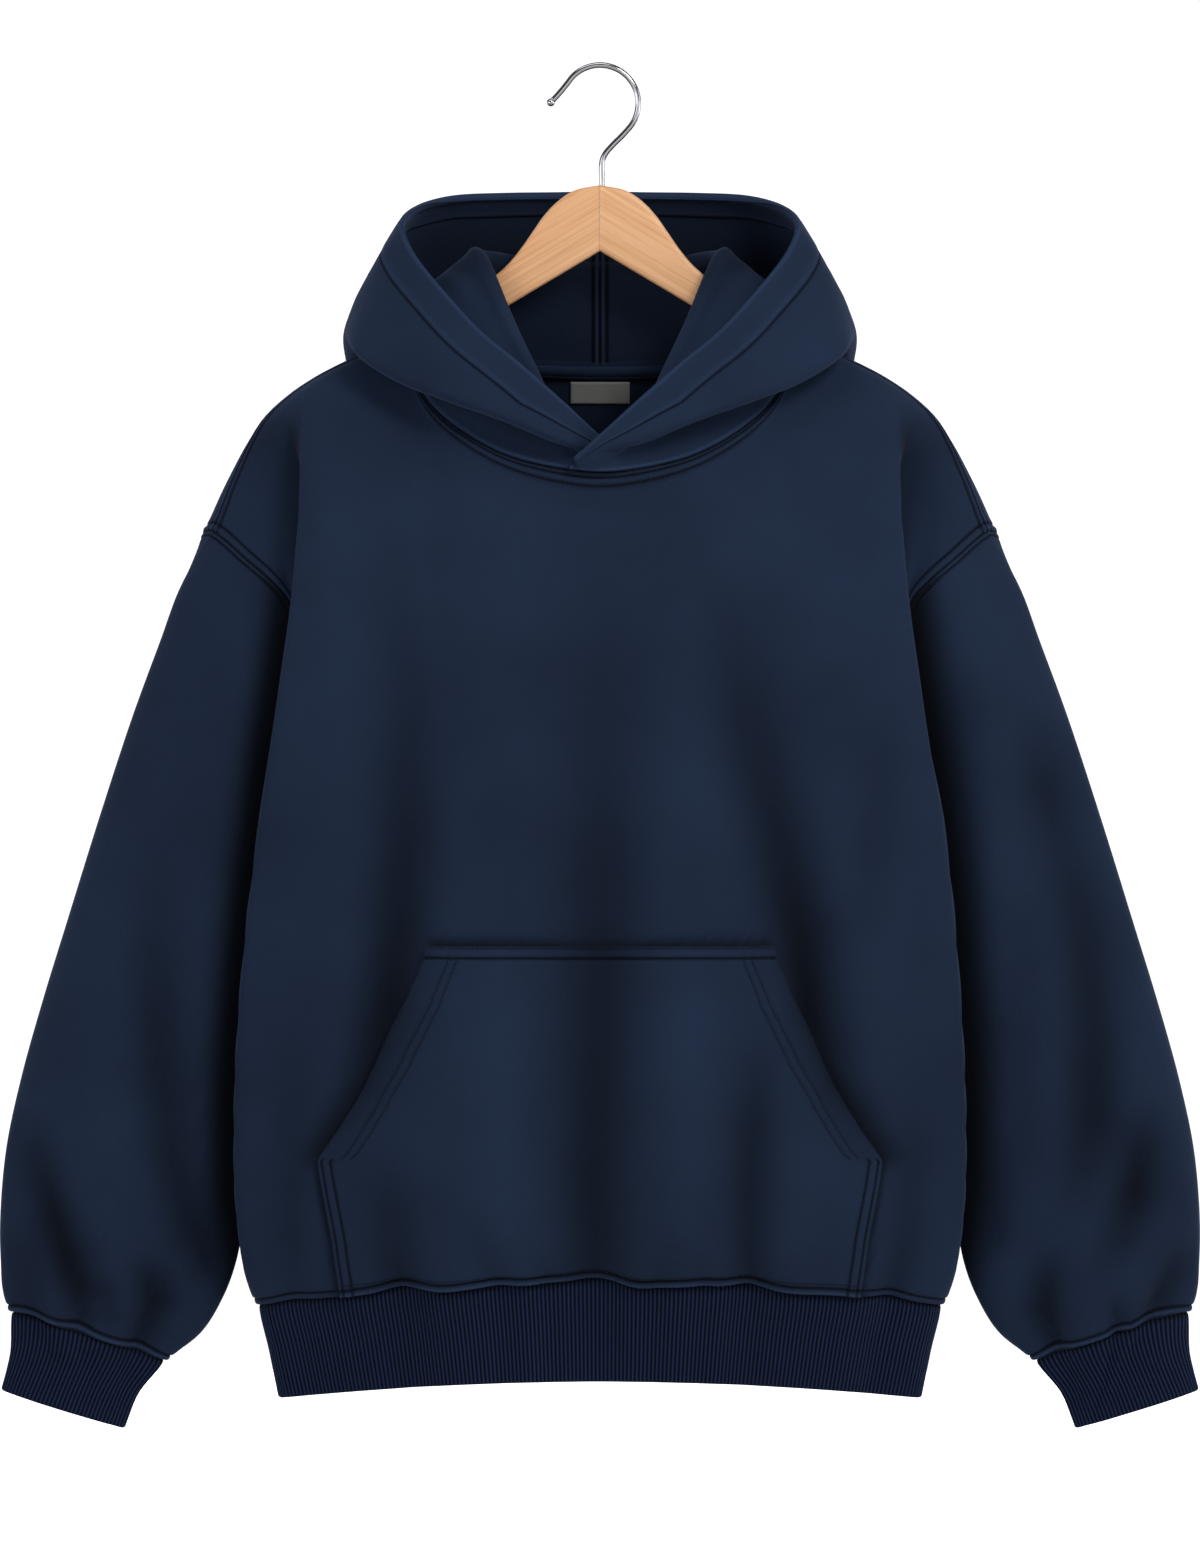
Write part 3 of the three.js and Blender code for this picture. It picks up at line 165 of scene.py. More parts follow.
# Hood stations: share of the neck seam, peak, trough, rim, peak width, trough width, swell, curl.
HOOD = [
    (-0.055, (-15.8, -62.2, -273), (-15.9, -63.6, -271), (-16, -66, -267.5), 0, 0, 0, 0),
    (0.02, (5, -61, -269), (4, -65.5, -264), (2, -68, -249), 0, 0, 0, 0),
    (0.07, (21, -59, -257), (21, -71, -259.5), (17, -69, -235), 1.5, 7.5, 1, 0),
    (0.125, (32, -51, -234), (45, -73, -249.5), (38, -68, -214), 7, 9, 2, 0.5),
    (0.21, (52, -40, -193), (86, -70, -234), (68, -63, -191.5), 9, 11, 4, 1),
    (0.316, (68, -28, -162), (126, -52, -219.5), (100, -50, -159), 10, 13, 5, 1.5),
    (0.378, (79, -18, -134), (152, -38, -206), (118, -38, -138), 11, 14, 5, 3),
    (0.5, (85, 6, -124), (165, -8, -190), (135, -12, -107.5), 12, 15, 5, 7),
    (0.575, (80, 19, -125), (166, 16, -199), (131, 8, -97), 12, 16, 5, 8),
    (0.65, (68, 28, -127), (160, 42, -222), (118, 32, -90), 13, 18, 7, 8),
    (0.743, (50, 34, -129), (140, 66, -258), (96, 54, -87.5), 14, 21, 10, 7),
    (0.858, (27, 38.5, -132), (82, 83, -300), (55, 69, -86), 15, 25, 12, 6),
    (1, (0, 40, -133), (0, 88, -318), (0, 74, -85), 15, 26, 13, 6),
]
HOOD_SPANS = (2, 1, 1, 1, 2, 2, 1, 1, 2, 2, 1)
HOOD_EXTRA = (6.5 / 12, 7.5 / 12)
LAP_TIP = 8
LAP_TIP_X = -16
LAP_FADES_X = 45
HOOD_HEM = 24

# Pocket: height and half width down its outline; the hand openings end at POCKET_CORNER_Z.
POCKET = [
    (-596.5, 115.5), (-604.7, 117.2), (-634, 128.8), (-675, 149), (-703.7, 165.5), (-720, 176),
    (-738.9, 189), (-743, 191), (-766, 187), (-795, 181.5), (-806, 180), (-829, 176),
]
POCKET_CORNER_Z = -743
# Share by which a cuff is narrower at the middle of its depth.
CUFF_WAIST = 0.065
TAPE_FROM = 0.56
LABEL = {"half_width": 20.3, "top": -212.5, "bottom": -227.5}

# Folds of the hanging cloth: points (x, z, width, depth) along each, pressed in along the normal.
FRONT_FOLDS = [
    [
        (0, -380, 30, 0), (0, -430, 27, 4), (0, -540, 25, 9), (-1, -640, 25, 11), (-6, -750, 24, 12),
        (-2, -835, 20, 11),
    ],
    [
        (-128, -300, 22, 0), (-130, -360, 22, 4), (-128, -430, 21, 7), (-134, -530, 21, 10),
        (-137, -585, 20, 13), (-144, -640, 16, 15), (-160, -690, 14, 12), (-182, -730, 12, 4),
    ],
    [
        (88, -330, 22, 0), (92, -380, 20, 5), (104, -450, 19, 9), (113, -490, 19, 10), (124, -535, 20, 12),
        (136, -590, 18, 15), (143, -640, 16, 16), (158, -690, 14, 12), (180, -730, 12, 4),
    ],
    [(-150, -735, 16, 0), (-142, -775, 16, 6), (-134, -835, 13, 10)],
    [(106, -640, 17, 0), (104, -680, 16, 6), (102, -720, 16, 10), (100, -770, 15, 10), (102, -835, 13, 9)],
    [(-34, -285, 8, 0), (-20, -290, 7, 3), (0, -292, 7, 4), (16, -289, 7, 3), (30, -284, 8, 0)],
    [(196, -420, 13, 0), (190, -470, 13, 4), (184, -540, 13, 4), (180, -600, 13, 0)],
    [(218, -470, 9, 0), (222, -510, 9, -4), (226, -560, 9, -5), (229, -600, 9, -3), (232, -660, 9, 0)],
    [(-88, -770, 11, 0), (-80, -800, 9, 3), (-60, -840, 7, 4)],
    [(-40, -800, 8, 0), (-34, -838, 7, 4.5)],
    [(48, -780, 10, 0), (42, -812, 8, 3), (32, -842, 7, 4.5)],
    [(68, -800, 8, 0), (72, -838, 6, 4)],
    [(-206, -640, 12, 0), (-209, -700, 13, 4), (-212, -800, 12, 5), (-208, -835, 9, 3)],
    [(214, -690, 12, 0), (212, -740, 12, 4), (205, -810, 11, 6), (196, -838, 9, 6)],
    [(-74, -470, 20, 0), (-70, -540, 20, -1.5), (-68, -680, 18, -1.8), (-72, -790, 16, -1.2)],
    [(58, -470, 20, 0), (62, -540, 18, -1.5), (60, -680, 16, -1.8), (56, -790, 14, -1.2)],
]
BACK_FOLDS = [
    [(6, -400, 32, 0), (4, -500, 30, 9), (2, -640, 28, 11), (10, -740, 26, 12), (4, -835, 20, 13)],
    [(112, -350, 24, 0), (120, -450, 24, 9), (132, -600, 24, 12), (150, -710, 20, 12), (160, -835, 14, 11)],
    [
        (-98, -340, 24, 0), (-108, -440, 24, 10), (-128, -590, 24, 13), (-150, -710, 20, 12),
        (-156, -835, 14, 10),
    ],
    [(-60, -700, 18, 0), (-56, -770, 16, 7), (-64, -838, 11, 11)],
    [(66, -720, 16, 0), (74, -780, 15, 7), (88, -838, 10, 11)],
    [(200, -560, 14, 0), (202, -680, 15, 6), (206, -800, 13, 5), (200, -838, 10, 0)],
    [(-196, -520, 14, 0), (-200, -640, 15, 6), (-208, -790, 13, 6), (-202, -838, 10, 0)],
]
RIGHT_SLEEVE_FOLDS = [
    [
        (300, -500, 15, 0), (301, -580, 15, 4), (299, -640, 15, 8), (294, -690, 15, 9), (287, -740, 14, 9),
        (272, -793, 13, 10), (262, -812, 11, 8),
    ],
    [
        (394, -705, 12, 0), (386, -740, 13, 8), (375, -780, 14, 14), (362, -810, 14, 15), (354, -832, 12, 14),
        (352, -850, 9, 10),
    ],
    [(404, -780, 12, 0), (398, -806, 13, 6), (392, -832, 11, 7), (386, -846, 9, 5)],
    [(312, -806, 9, 0), (303, -826, 10, 10), (299, -840, 10, 13), (310, -864, 9, 10)],
    [(338, -818, 7, 0), (335, -832, 6, 5), (331, -852, 6, 5)],
    [(356, -520, 12, 0), (350, -600, 13, -2), (340, -700, 13, -3), (322, -770, 13, -3), (312, -800, 12, 0)],
]
LEFT_SLEEVE_FOLDS = [
    [
        (296, -430, 15, 0), (303, -486, 16, 8), (318, -536, 17, 7), (331, -590, 17, 9), (334, -650, 17, 10),
        (333, -715, 16, 11), (322, -760, 14, 5),
    ],
    [(372, -700, 13, 0), (370, -735, 14, 11), (364, -765, 14, 14), (352, -795, 12, 8), (340, -815, 10, 3)],
    [(403, -790, 11, 0), (394, -815, 13, 9), (382, -838, 11, 11), (374, -850, 9, 8)],
    [(306, -800, 9, 0), (301, -826, 10, 10), (299, -846, 10, 13), (306, -866, 9, 10)],
    [(344, -832, 7, 0), (350, -846, 6, 6), (352, -862, 5, 6)],
    [(272, -720, 11, 0), (268, -750, 11, 3), (264, -795, 11, 5)],
    [(254, -390, 10, 0), (260, -430, 11, -5), (264, -490, 12, -6), (268, -560, 12, -4), (276, -640, 12, 0)],
    [(304, -560, 14, 0), (300, -640, 13, -3), (300, -720, 13, -3), (306, -770, 12, 0)],
]


def colour(r, g, b):
    """A linear colour from its sRGB bytes."""
    line = [v / 255 for v in (r, g, b)]
    return tuple(v / 12.92 if v <= 0.04045 else ((v + 0.055) / 1.055) ** 2.4 for v in line) + (1,)


def rise(t):
    t = np.clip(t, 0, 1)
    return t * t * (3 - 2 * t)


def unit(v):
    return v / np.maximum(np.linalg.norm(v, axis=-1, keepdims=True), 1e-9)


def flip_x(points):
    return points * np.array([-1.0, 1.0, 1.0])


def same(points):
    return points


def limited(shade):
    return np.clip(shade, LIGHTEST, 1)


def bell(d, width):
    return np.exp(-((d / width) ** 2))


def hermite(t, h, a, slope_a, b, slope_b):
    """A smooth way from a to b over a span of length h, at the share t."""
    return (
        a * (1 + t * t * (2 * t - 3))
        + slope_a * (h * t * (1 - t) ** 2)
        + b * (t * t * (3 - 2 * t))
        + slope_b * (h * t * t * (t - 1))
    )


def reach_of(line):
    """How far along a line each of its points lies."""
    return np.concatenate([[0], np.cumsum(np.linalg.norm(np.diff(line, axis=0), axis=1))])


def read_rows(table, places):
    """Each row of a table read at that row's own places."""
    return np.stack([np.interp(places[r], np.arange(table.shape[1]), table[r]) for r in range(len(table))])


class Curves:
    """Smooth curves through points of shape (knots, curves, 3), side by side."""

    def __init__(self, points, closed=False):
        points = np.asarray(points, float)
        self.spans = len(points) - (0 if closed else 1)
        self.first = 1 if closed else 0
        if closed:
            points = np.concatenate([points[-1:], points, points[:2]])
        step = np.sqrt(np.linalg.norm(np.diff(points, axis=0), axis=-1)).clip(1e-3)
        chord = np.diff(points, axis=0) / step[..., None]
        before, after = step[:-1, :, None], step[1:, :, None]
        inner = (chord[:-1] * after + chord[1:] * before) / (before + after)
        self.points, self.step = points, step
        self.slope = np.concatenate([chord[:1], inner, chord[-1:]])

    def at(self, place):
        """Points at places given as knot number and share, shape (places, curves)."""
        span = np.clip(place.astype(int), 0, self.spans - 1)
        t = (place - span)[..., None]
        span = span[..., None] + self.first
        pick = lambda a, i: np.take_along_axis(a, i, axis=0)
        h = pick(self.step[..., None], span)
        start = pick(self.points, span), pick(self.slope, span)
        return hermite(t, h, *start, pick(self.points, span + 1), pick(self.slope, span + 1))

    def measure(self):
        if not hasattr(self, "reach"):
            count = self.points.shape[1]
            self.places = np.linspace(0, self.spans, self.spans * 10 + 1)
            dense = self.at(np.repeat(self.places[:, None], count, 1))
            steps = np.linalg.norm(np.diff(dense, axis=0), axis=-1)
            self.reach = np.concatenate([np.zeros((1, count)), np.cumsum(steps, axis=0)])
        return self.reach[-1]

    def place_of(self, lengths):
        """The places at given lengths along the curves, shape (places, curves)."""
        self.measure()
        columns = [np.interp(lengths[:, m], self.reach[:, m], self.places) for m in range(lengths.shape[1])]
        return np.stack(columns, axis=1)


def spread(total, count, low, high):
    """Lengths along curves: close ones listed from each end and an even spread between them."""
    low = np.array(low, float)[:, None] + 0 * total
    high = total - np.array(high, float)[::-1, None]
    t = np.linspace(0, 1, count + 2)[1:-1, None]
    return np.concatenate([low, low[-1] + (high[0] - low[-1]) * t, high])


def line_through(points, steps):
    """Points on one smooth curve, with a number of steps in each span; 0 leaves a span out."""
    places = []
    for i, count in enumerate(steps):
        if count and not places:
            places.append(float(i))
        places += [i + (k + 1) / count for k in range(count)]
    curve = Curves(np.asarray(points, float)[:, None])
    return curve.at(np.array(places)[:, None])[:, 0]


def at_share(line, shares):
    reach = reach_of(line)
    goal = np.asarray(shares, float) * reach[-1]
    return np.stack([np.interp(goal, reach, line[:, k]) for k in range(3)], axis=-1)


def pressed(folds, x, z):
    """How far a set of folds presses the cloth in at places in the front view."""
    total = np.zeros_like(x)
    for fold in folds:
        fold = [(ax, az, aw * BROADER, ad) for ax, az, aw, ad in fold]
        nearest = np.full_like(x, 1e9)
        width = np.ones_like(x)
        depth = np.zeros_like(x)
        for (ax, az, aw, ad), (bx, bz, bw, bd) in zip(fold, fold[1:]):
            t = ((x - ax) * (bx - ax) + (z - az) * (bz - az)) / ((bx - ax) ** 2 + (bz - az) ** 2)
            t = np.clip(t, 0, 1)
            away = np.hypot(x - ax - t * (bx - ax), z - az - t * (bz - az))
            closer = away < nearest
            nearest = np.where(closer, away, nearest)
            width = np.where(closer, aw + (bw - aw) * t, width)
            depth = np.where(closer, ad + (bd - ad) * t, depth)
        total += depth * np.exp(-((nearest / width) ** 2))
    return total


def normals_of(grid, closed, flip):
    if closed:
        along = np.roll(grid, -1, axis=1) - np.roll(grid, 1, axis=1)
    else:
        padded = np.concatenate([grid[:, :1], grid, grid[:, -1:]], axis=1)
        along = padded[:, 2:] - padded[:, :-2]
    padded = np.concatenate([grid[:1], grid, grid[-1:]])
    up = padded[2:] - padded[:-2]
    return unit(np.cross(along, up)) * (-1 if flip else 1)


def profile(d, knots):
    """A height read from a list of (distance, height)."""
    where, height = zip(*knots)
    return np.interp(d, where, height)


# Meshes
def build(name, points, faces, material, uv=None, uv_faces=None, shade=None):
    """A smooth mesh object of quads; its points are given in millimetres."""
    faces = np.ascontiguousarray(faces, dtype=np.int32)
    mesh = bpy.data.meshes.new(name)
    mesh.vertices.add(len(points))
    mesh.vertices.foreach_set("co", (np.asarray(points) * 0.001).astype(np.float32).ravel())
    mesh.loops.add(faces.size)
    mesh.loops.foreach_set("vertex_index", faces.ravel())
    mesh.polygons.add(len(faces))
    mesh.polygons.foreach_set("loop_start", np.arange(0, faces.size, 4, dtype=np.int32))
    mesh.update(calc_edges=True)
    mesh.polygons.foreach_set("use_smooth", np.ones(len(faces), dtype=bool))
    if uv is not None:
        layer = mesh.uv_layers.new(name="cut")
        layer.data.foreach_set("uv", (uv[uv_faces.ravel()] * 0.001).astype(np.float32).ravel())
    # The shade attribute carries painted shade (up to 1) and painted highlight (below 0).
    if shade is None:
        shade = np.zeros(len(points))
    mesh.attributes.new("shade", "FLOAT", "POINT").data.foreach_set("value", shade.astype(np.float32))
    mesh.validate()
    mesh.materials.append(material)
    made = bpy.data.objects.new(name, mesh)
    bpy.context.scene.collection.objects.link(made)
    return made


def quads(index):
    a, b, c, d = index[:-1, :-1], index[:-1, 1:], index[1:, 1:], index[1:, :-1]
    return np.stack([a, b, c, d], axis=-1).reshape(-1, 4)


def grid_index(rows, columns, wraps=False):
    """Numbers of a grid's points; where it wraps, the first column comes again at the end."""
    index = np.arange(rows * columns).reshape(rows, columns)
    return np.concatenate([index, index[:, :1]], axis=1) if wraps else index


def wall_faces(rows, columns, closed, flip):
    """Quads of a closed wall between two grids, and the same quads in a grid that never wraps."""

    def box(index, offset):
        edge = lambda a, b: np.stack([a, b, b + offset, a + offset], axis=-1)
        outer = quads(index)
        parts = [
            outer, outer[:, ::-1] + offset,
            edge(index[0, 1:], index[0, :-1]), edge(index[-1, :-1], index[-1, 1:]),
        ]
        if not closed:
            left, right = index[:, 0], index[:, -1]
            parts += [edge(left[:-1], left[1:]), edge(right[1:], right[:-1])]
        made = np.concatenate(parts)
        return made[:, ::-1] if flip else made

    faces = box(grid_index(rows, columns, closed), rows * columns)
    if not closed:
        return faces, faces
    return faces, box(grid_index(rows, columns + 1), rows * (columns + 1))


def flat_lengths(grid, closed):
    """Where each point of a grid lies on the flat cut, in millimetres."""
    line = np.concatenate([grid, grid[:, :1]], axis=1) if closed else grid
    across = np.linalg.norm(np.diff(line, axis=1), axis=-1)
    u = np.concatenate([np.zeros((len(line), 1)), np.cumsum(across, axis=1)], axis=1)
    u = u - u[:, -1:] / 2
    down = np.linalg.norm(np.diff(line, axis=0), axis=-1)
    v = np.concatenate([np.zeros((1, line.shape[1])), np.cumsum(down, axis=0)])
    return np.stack([u, v], axis=-1).reshape(-1, 2)


def wall(name, outer, inner, material, closed=False, flip=False, shade=None, inside_painted_shade=0.0):
    rows, columns = outer.shape[:2]
    faces, uv_faces = wall_faces(rows, columns, closed, flip)
    uv = flat_lengths(outer, closed)
    # The inner side carries the same painted shade and highlight, with more painted shade added.
    both = None if shade is None else np.concatenate([shade.ravel(), limited(shade.ravel() + inside_painted_shade)])
    points = np.concatenate([outer.reshape(-1, 3), inner.reshape(-1, 3)])
    return build(name, points, faces, material, np.tile(uv, (2, 1)), uv_faces, both)


def rounded(d, radius):
    """How far a free edge is rounded back at a distance d from it."""
    t = np.clip(1 - d / radius, 0, 1)
    return radius * (1 - np.sqrt(1 - t * t))


# Threads: short stitches that dive into the cloth at both ends.
class Threads:
    def __init__(self):
        self.lines = []

    def add(self, line, normals, pitch=3.3, length=2.7, radius=0.3, lift=0.1):
        line = np.asarray(line, float)
        reach = reach_of(line)
        if reach[-1] < 2 * pitch:
            return
        middles = np.arange(pitch, reach[-1] - pitch / 2, pitch)
        read = lambda values, at: np.stack([np.interp(at, reach, values[:, k]) for k in range(3)], axis=-1)
        centre = read(line, middles)
        along = unit(read(line, middles + 0.4 * pitch) - read(line, middles - 0.4 * pitch))
        up = read(np.asarray(normals, float), middles)
        up = unit(up - along * np.sum(up * along, axis=-1, keepdims=True))
        side = np.cross(up, along)
        rings = []
        for share, height, size in ((-1, -0.45, 0.7), (-0.55, 0.75, 1), (0.55, 0.75, 1), (1, -0.45, 0.7)):
            for corner in range(5):
                angle = 2 * math.pi * corner / 5
                a = share * length / 2
                s = size * radius * math.cos(angle)
                u = lift + radius * (height + size * math.sin(angle))
                rings.append(centre + along * a + side * s + up * u)
        self.lines.append(np.stack(rings, axis=1))

    def object(self, name, material):
        points = np.concatenate(self.lines)
        quads = []
        for ring in range(3):
            for corner in range(5):
                a, b = ring * 5 + corner, ring * 5 + (corner + 1) % 5
                quads.append((a, a + 5, b + 5, b))
        faces = (np.array(quads)[None] + np.arange(len(points))[:, None, None] * 20).reshape(-1, 4)
        return build(name, points.reshape(-1, 3), faces, material)


# Materials
def node(tree, kind, feeds=None, **values):
    """A node with its properties, inputs by their names in small letters, and more inputs as feeds."""
    made = tree.nodes.new(kind)
    for key, value in values.items():
        if key in made.bl_rna.properties.keys():
            setattr(made, key, value)
        else:
            made.inputs[key.replace("_", " ").title()].default_value = value
    feed(tree, made, feeds or {})
    return made


def feed(tree, made, feeds):
    """Sets inputs of a node: each from a value or from another node's output."""
    for key, value in feeds.items():
        if isinstance(value, bpy.types.NodeSocket):
            tree.links.new(value, made.inputs[key])
        else:
            made.inputs[key].default_value = value


def material(name, base, roughness, feeds=None):
    made = bpy.data.materials.new(name)
    made.use_nodes = True
    tree = made.node_tree
    shader = tree.nodes["Principled BSDF"]
    feed(tree, shader, {"Base Color": base, "Roughness": roughness, **(feeds or {})})
    return made, tree, shader


def cloth_material(name, low, high, painted_shade, lip, weave, sheen, bump):
    """Brushed or knitted cloth: mottled colour, painted shade and highlight, a fine diagonal grain in the
    flat cut.
    """
    made, tree, shader = material(name, colour(*high), 0.93, {
        "Sheen Weight": sheen, "Sheen Roughness": 0.45, "Sheen Tint": SHEEN_TINT, "Specular IOR Level": 0.1,
    })
    place = node(tree, "ShaderNodeTexCoord").outputs
    at = {"Vector": place["Object"]}
    broad = node(tree, "ShaderNodeTexNoise", at, scale=9.0, detail=3.0).outputs["Fac"]
    fine = node(tree, "ShaderNodeTexNoise", at, scale=900.0, detail=4.0, roughness=0.65).outputs["Fac"]
    mixed = node(tree, "ShaderNodeMath", {0: fine, 1: 0.55, 2: broad}, operation="MULTIPLY_ADD").outputs[0]
    tone = node(tree, "ShaderNodeMapRange", {"Value": mixed, "From Min": 0.45, "From Max": 1.1})
    ends = {"Factor": tone.outputs["Result"], "A": colour(*low), "B": colour(*high)}
    blend = node(tree, "ShaderNodeMix", ends, data_type="RGBA")
    # The shade attribute mixes in the painted_shade colour as painted shade, and below 0 the lip colour as
    # painted highlight.
    shade = node(tree, "ShaderNodeAttribute", attribute_name="shade").outputs["Fac"]
    ends = {"Factor": shade, "A": blend.outputs["Result"], "B": colour(*painted_shade)}
    dark = node(tree, "ShaderNodeMix", ends, data_type="RGBA")
    turned_over = node(tree, "ShaderNodeMath", {0: shade, 1: -1}, operation="MULTIPLY", use_clamp=True)
    ends = {"Factor": turned_over.outputs[0], "A": dark.outputs["Result"], "B": colour(*lip)}
    lit = node(tree, "ShaderNodeMix", ends, data_type="RGBA")
    turned = node(tree, "ShaderNodeMapping", {"Rotation": (0, 0, math.radians(33)), "Vector": place["UV"]})
    at = {"Vector": turned.outputs["Vector"], "Detail Scale": 2.0}
    twill = node(tree, "ShaderNodeTexWave", at, wave_type="BANDS", scale=weave, distortion=1.5, detail=2.0)
    sums = {0: twill.outputs["Fac"], 1: 0.35, 2: fine}
    height = node(tree, "ShaderNodeMath", sums, operation="MULTIPLY_ADD").outputs[0]
    relief = node(tree, "ShaderNodeBump", {"Height": height}, strength=bump, distance=0.0004)
    feed(tree, shader, {"Base Color": lit.outputs["Result"], "Normal": relief.outputs["Normal"]})
    return made


SHEEN_TINT = (0.42, 0.55, 0.95, 1)
# name, low, high, painted_shade, lip (painted highlight), weave, sheen, bump; the four colours in sRGB bytes
fleece = cloth_material("fleece", (26, 37, 57), (34, 48, 72), (4, 6, 10), (50, 68, 101), 140.0, 0.13, 0.5)
knit = cloth_material("rib_knit", (16, 24, 43), (21, 31, 53), (2, 3, 6), (42, 60, 104), 420.0, 0.08, 0.4)
# Stitches are dark navy thread, made darker than the cloth as painted shade of the stitch holes.
thread = cloth_material("thread", (12, 16, 29), (24, 31, 54), (8, 10, 18), (24, 31, 54), 900.0, 0.1, 0.3)
label_cloth = cloth_material(
    "label_cloth", (130, 130, 129), (144, 144, 142), (60, 60, 60), (160, 160, 158), 500.0, 0.03, 0.5
)
label_cloth.node_tree.nodes["Principled BSDF"].inputs["Sheen Tint"].default_value = (1, 1, 1, 1)


def stops(ramp, first, last):
    """Sets the two ends of a colour ramp: each a place and a colour."""
    for end, (position, tint) in zip(ramp.color_ramp.elements, (first, last)):
        end.position, end.color = position, tint


def wood_material():
    made, tree, shader = material(
        "wood", colour(218, 168, 124), 0.42, {"Coat Weight": 0.25, "Coat Roughness": 0.3}
    )
    place = node(tree, "ShaderNodeTexCoord").outputs["UV"]
    stretched = node(tree, "ShaderNodeMapping", {"Scale": (5, 420, 60), "Vector": place})
    at = {"Vector": stretched.outputs["Vector"]}
    grain = node(tree, "ShaderNodeTexNoise", at, scale=1.0, detail=6.0, roughness=0.62)
    lines = node(tree, "ShaderNodeMapping", {"Scale": (14, 1500, 60), "Vector": place})
    at = {"Vector": lines.outputs["Vector"]}
    pores = node(tree, "ShaderNodeTexNoise", at, scale=1.0, detail=3.0, roughness=0.7).outputs["Fac"]
    ramp = node(tree, "ShaderNodeValToRGB", {"Fac": grain.outputs["Fac"]})
    stops(ramp, (0.25, colour(214, 154, 102)), (0.75, colour(246, 196, 148)))
    ramp.color_ramp.elements.new(0.5).color = colour(234, 178, 128)
    ends = {"Factor": 0.5, "A": ramp.outputs["Color"]}
    blend = node(tree, "ShaderNodeMix", ends, data_type="RGBA", blend_type="MULTIPLY")
    pore_ramp = node(tree, "ShaderNodeValToRGB", {"Fac": pores})
    stops(pore_ramp, (0.33, colour(206, 158, 116)), (0.45, (1, 1, 1, 1)))
    feed(tree, blend, {"B": pore_ramp.outputs["Color"]})
    relief = node(tree, "ShaderNodeBump", {"Height": pores}, strength=0.15, distance=0.0003)
    feed(tree, shader, {"Base Color": blend.outputs["Result"], "Normal": relief.outputs["Normal"]})
    return made


def wire_material():
    made, tree, shader = material(
        "wire", (0.5, 0.51, 0.53, 1), 0.14, {"Metallic": 1.0, "Specular Tint": (0.25, 0.25, 0.27, 1)}
    )
    at = {"Vector": node(tree, "ShaderNodeTexCoord").outputs["Object"]}
    smear = node(tree, "ShaderNodeTexNoise", at, scale=260.0, detail=3.0)
    gloss = node(tree, "ShaderNodeMapRange", {"Value": smear.outputs["Fac"], "To Min": 0.1, "To Max": 0.2})
    feed(tree, shader, {"Roughness": gloss.outputs["Result"]})
    return made


wood = wood_material()
wire = wire_material()
pieces = {}
threads = {key: Threads() for key in ("body", "hood", "pocket", "bands")}


# Body
def level_row(level, sign):
    z, front, back, fold_x, fold_y, turn_x, turn_y, side_x = level
    depth = back if sign > 0 else front
    fold_x *= BACK_FOLD_X if sign > 0 else 1
    fold_y *= BACK_FOLD_Y if sign > 0 else 1
    bulged = lambda share: fold_y + (depth - fold_y) * (1 - share**2.2) ** 0.8
    return [
        (0, sign * depth, z), (fold_x * CHEST_AT, sign * bulged(CHEST_AT), z),
        (fold_x * BREAST_AT, sign * bulged(BREAST_AT), z), (fold_x, sign * fold_y, z),
        (turn_x, sign * turn_y, z), (side_x, 0, z),
    ]


def half_row(stations):
    first = np.array(stations[1], float) * (-1, 1, 1)
    return line_through([first, *stations], (0, *PANEL_STEPS))


def top_row(neck):
    line = line_through(neck, [8] * (len(neck) - 1))
    half = at_share(line, np.arange(PANEL_STEPS[0]) / PANEL_STEPS[0])
    return np.concatenate([half, line_through(SHOULDER_SEAM, PANEL_STEPS[1:])])


def bowed(half, top, share):
    end = PANEL_STEPS[0]
    t = (np.arange(end) / end)[:, None]
    bow = top[:end] - (top[0] + (top[end] - top[0]) * t)
    chord = half[0] + (half[end] - half[0]) * t
    made = half.copy()
    made[:end] += (chord + bow - made[:end]) * share
    return made


def panel_rows(sign, yoke, neck):
    """The coarse rows of a body panel from the hem seam up, each from -X to +X."""
    top = top_row(neck)
    rows = [half_row(level_row(level, sign)) for level in LEVELS]
    for r, row in enumerate(yoke):
        rows.append(bowed(half_row(row), top, 1 - (1 - (r + 1) / (len(yoke) + 1)) ** 2))
    rows.append(top)
    return np.stack([np.concatenate([flip_x(half[:0:-1]), half]) for half in rows])


# Distances of the close rows and columns at an edge, and profiles of (distance, height) across seams.
EDGE_STEPS = (0, 0.7, 1.5, 2.6, 3.6, 4.6, 5.4, 6.0, 6.6, 7.6, 9.2, 10.4, 12, 15)
BODY_ARMHOLE = [
    (0, -1.5), (0.7, -0.1), (1.5, 0.9), (2.6, 1.2), (3.6, 1.0), (4.6, 0.5), (5.4, 0), (6, -0.7), (6.6, 0),
    (7.6, 0.35), (12, 0),
]
BODY_NECK = [
    (0, -1.5), (0.7, 0), (1.5, 0.9), (2.6, 0.8), (3.6, -0.2), (4.6, 0.6), (6, 0.8), (7.6, 0.5), (9.2, -0.6),
    (10.4, 0.2), (15, 0),
]
BODY_HEM = [
    (0, -1.3), (0.7, 0.2), (1.5, 0.9), (2.6, 1.2), (3.6, 1.0), (4.6, 0.7), (5.4, 0.1), (6, -0.7), (6.6, 0.1),
    (7.6, 0.6), (12, 0.2), (15, 0),
]
SIDE_SEAM = [(0, -1.6), (1.5, -0.3), (4.6, 0)]
SHOULDER = [(0, -1.4), (0.7, 0), (1.5, 0.5), (3.6, 0.4), (4.6, -0.5), (5.4, 0.1), (7.6, 0)]


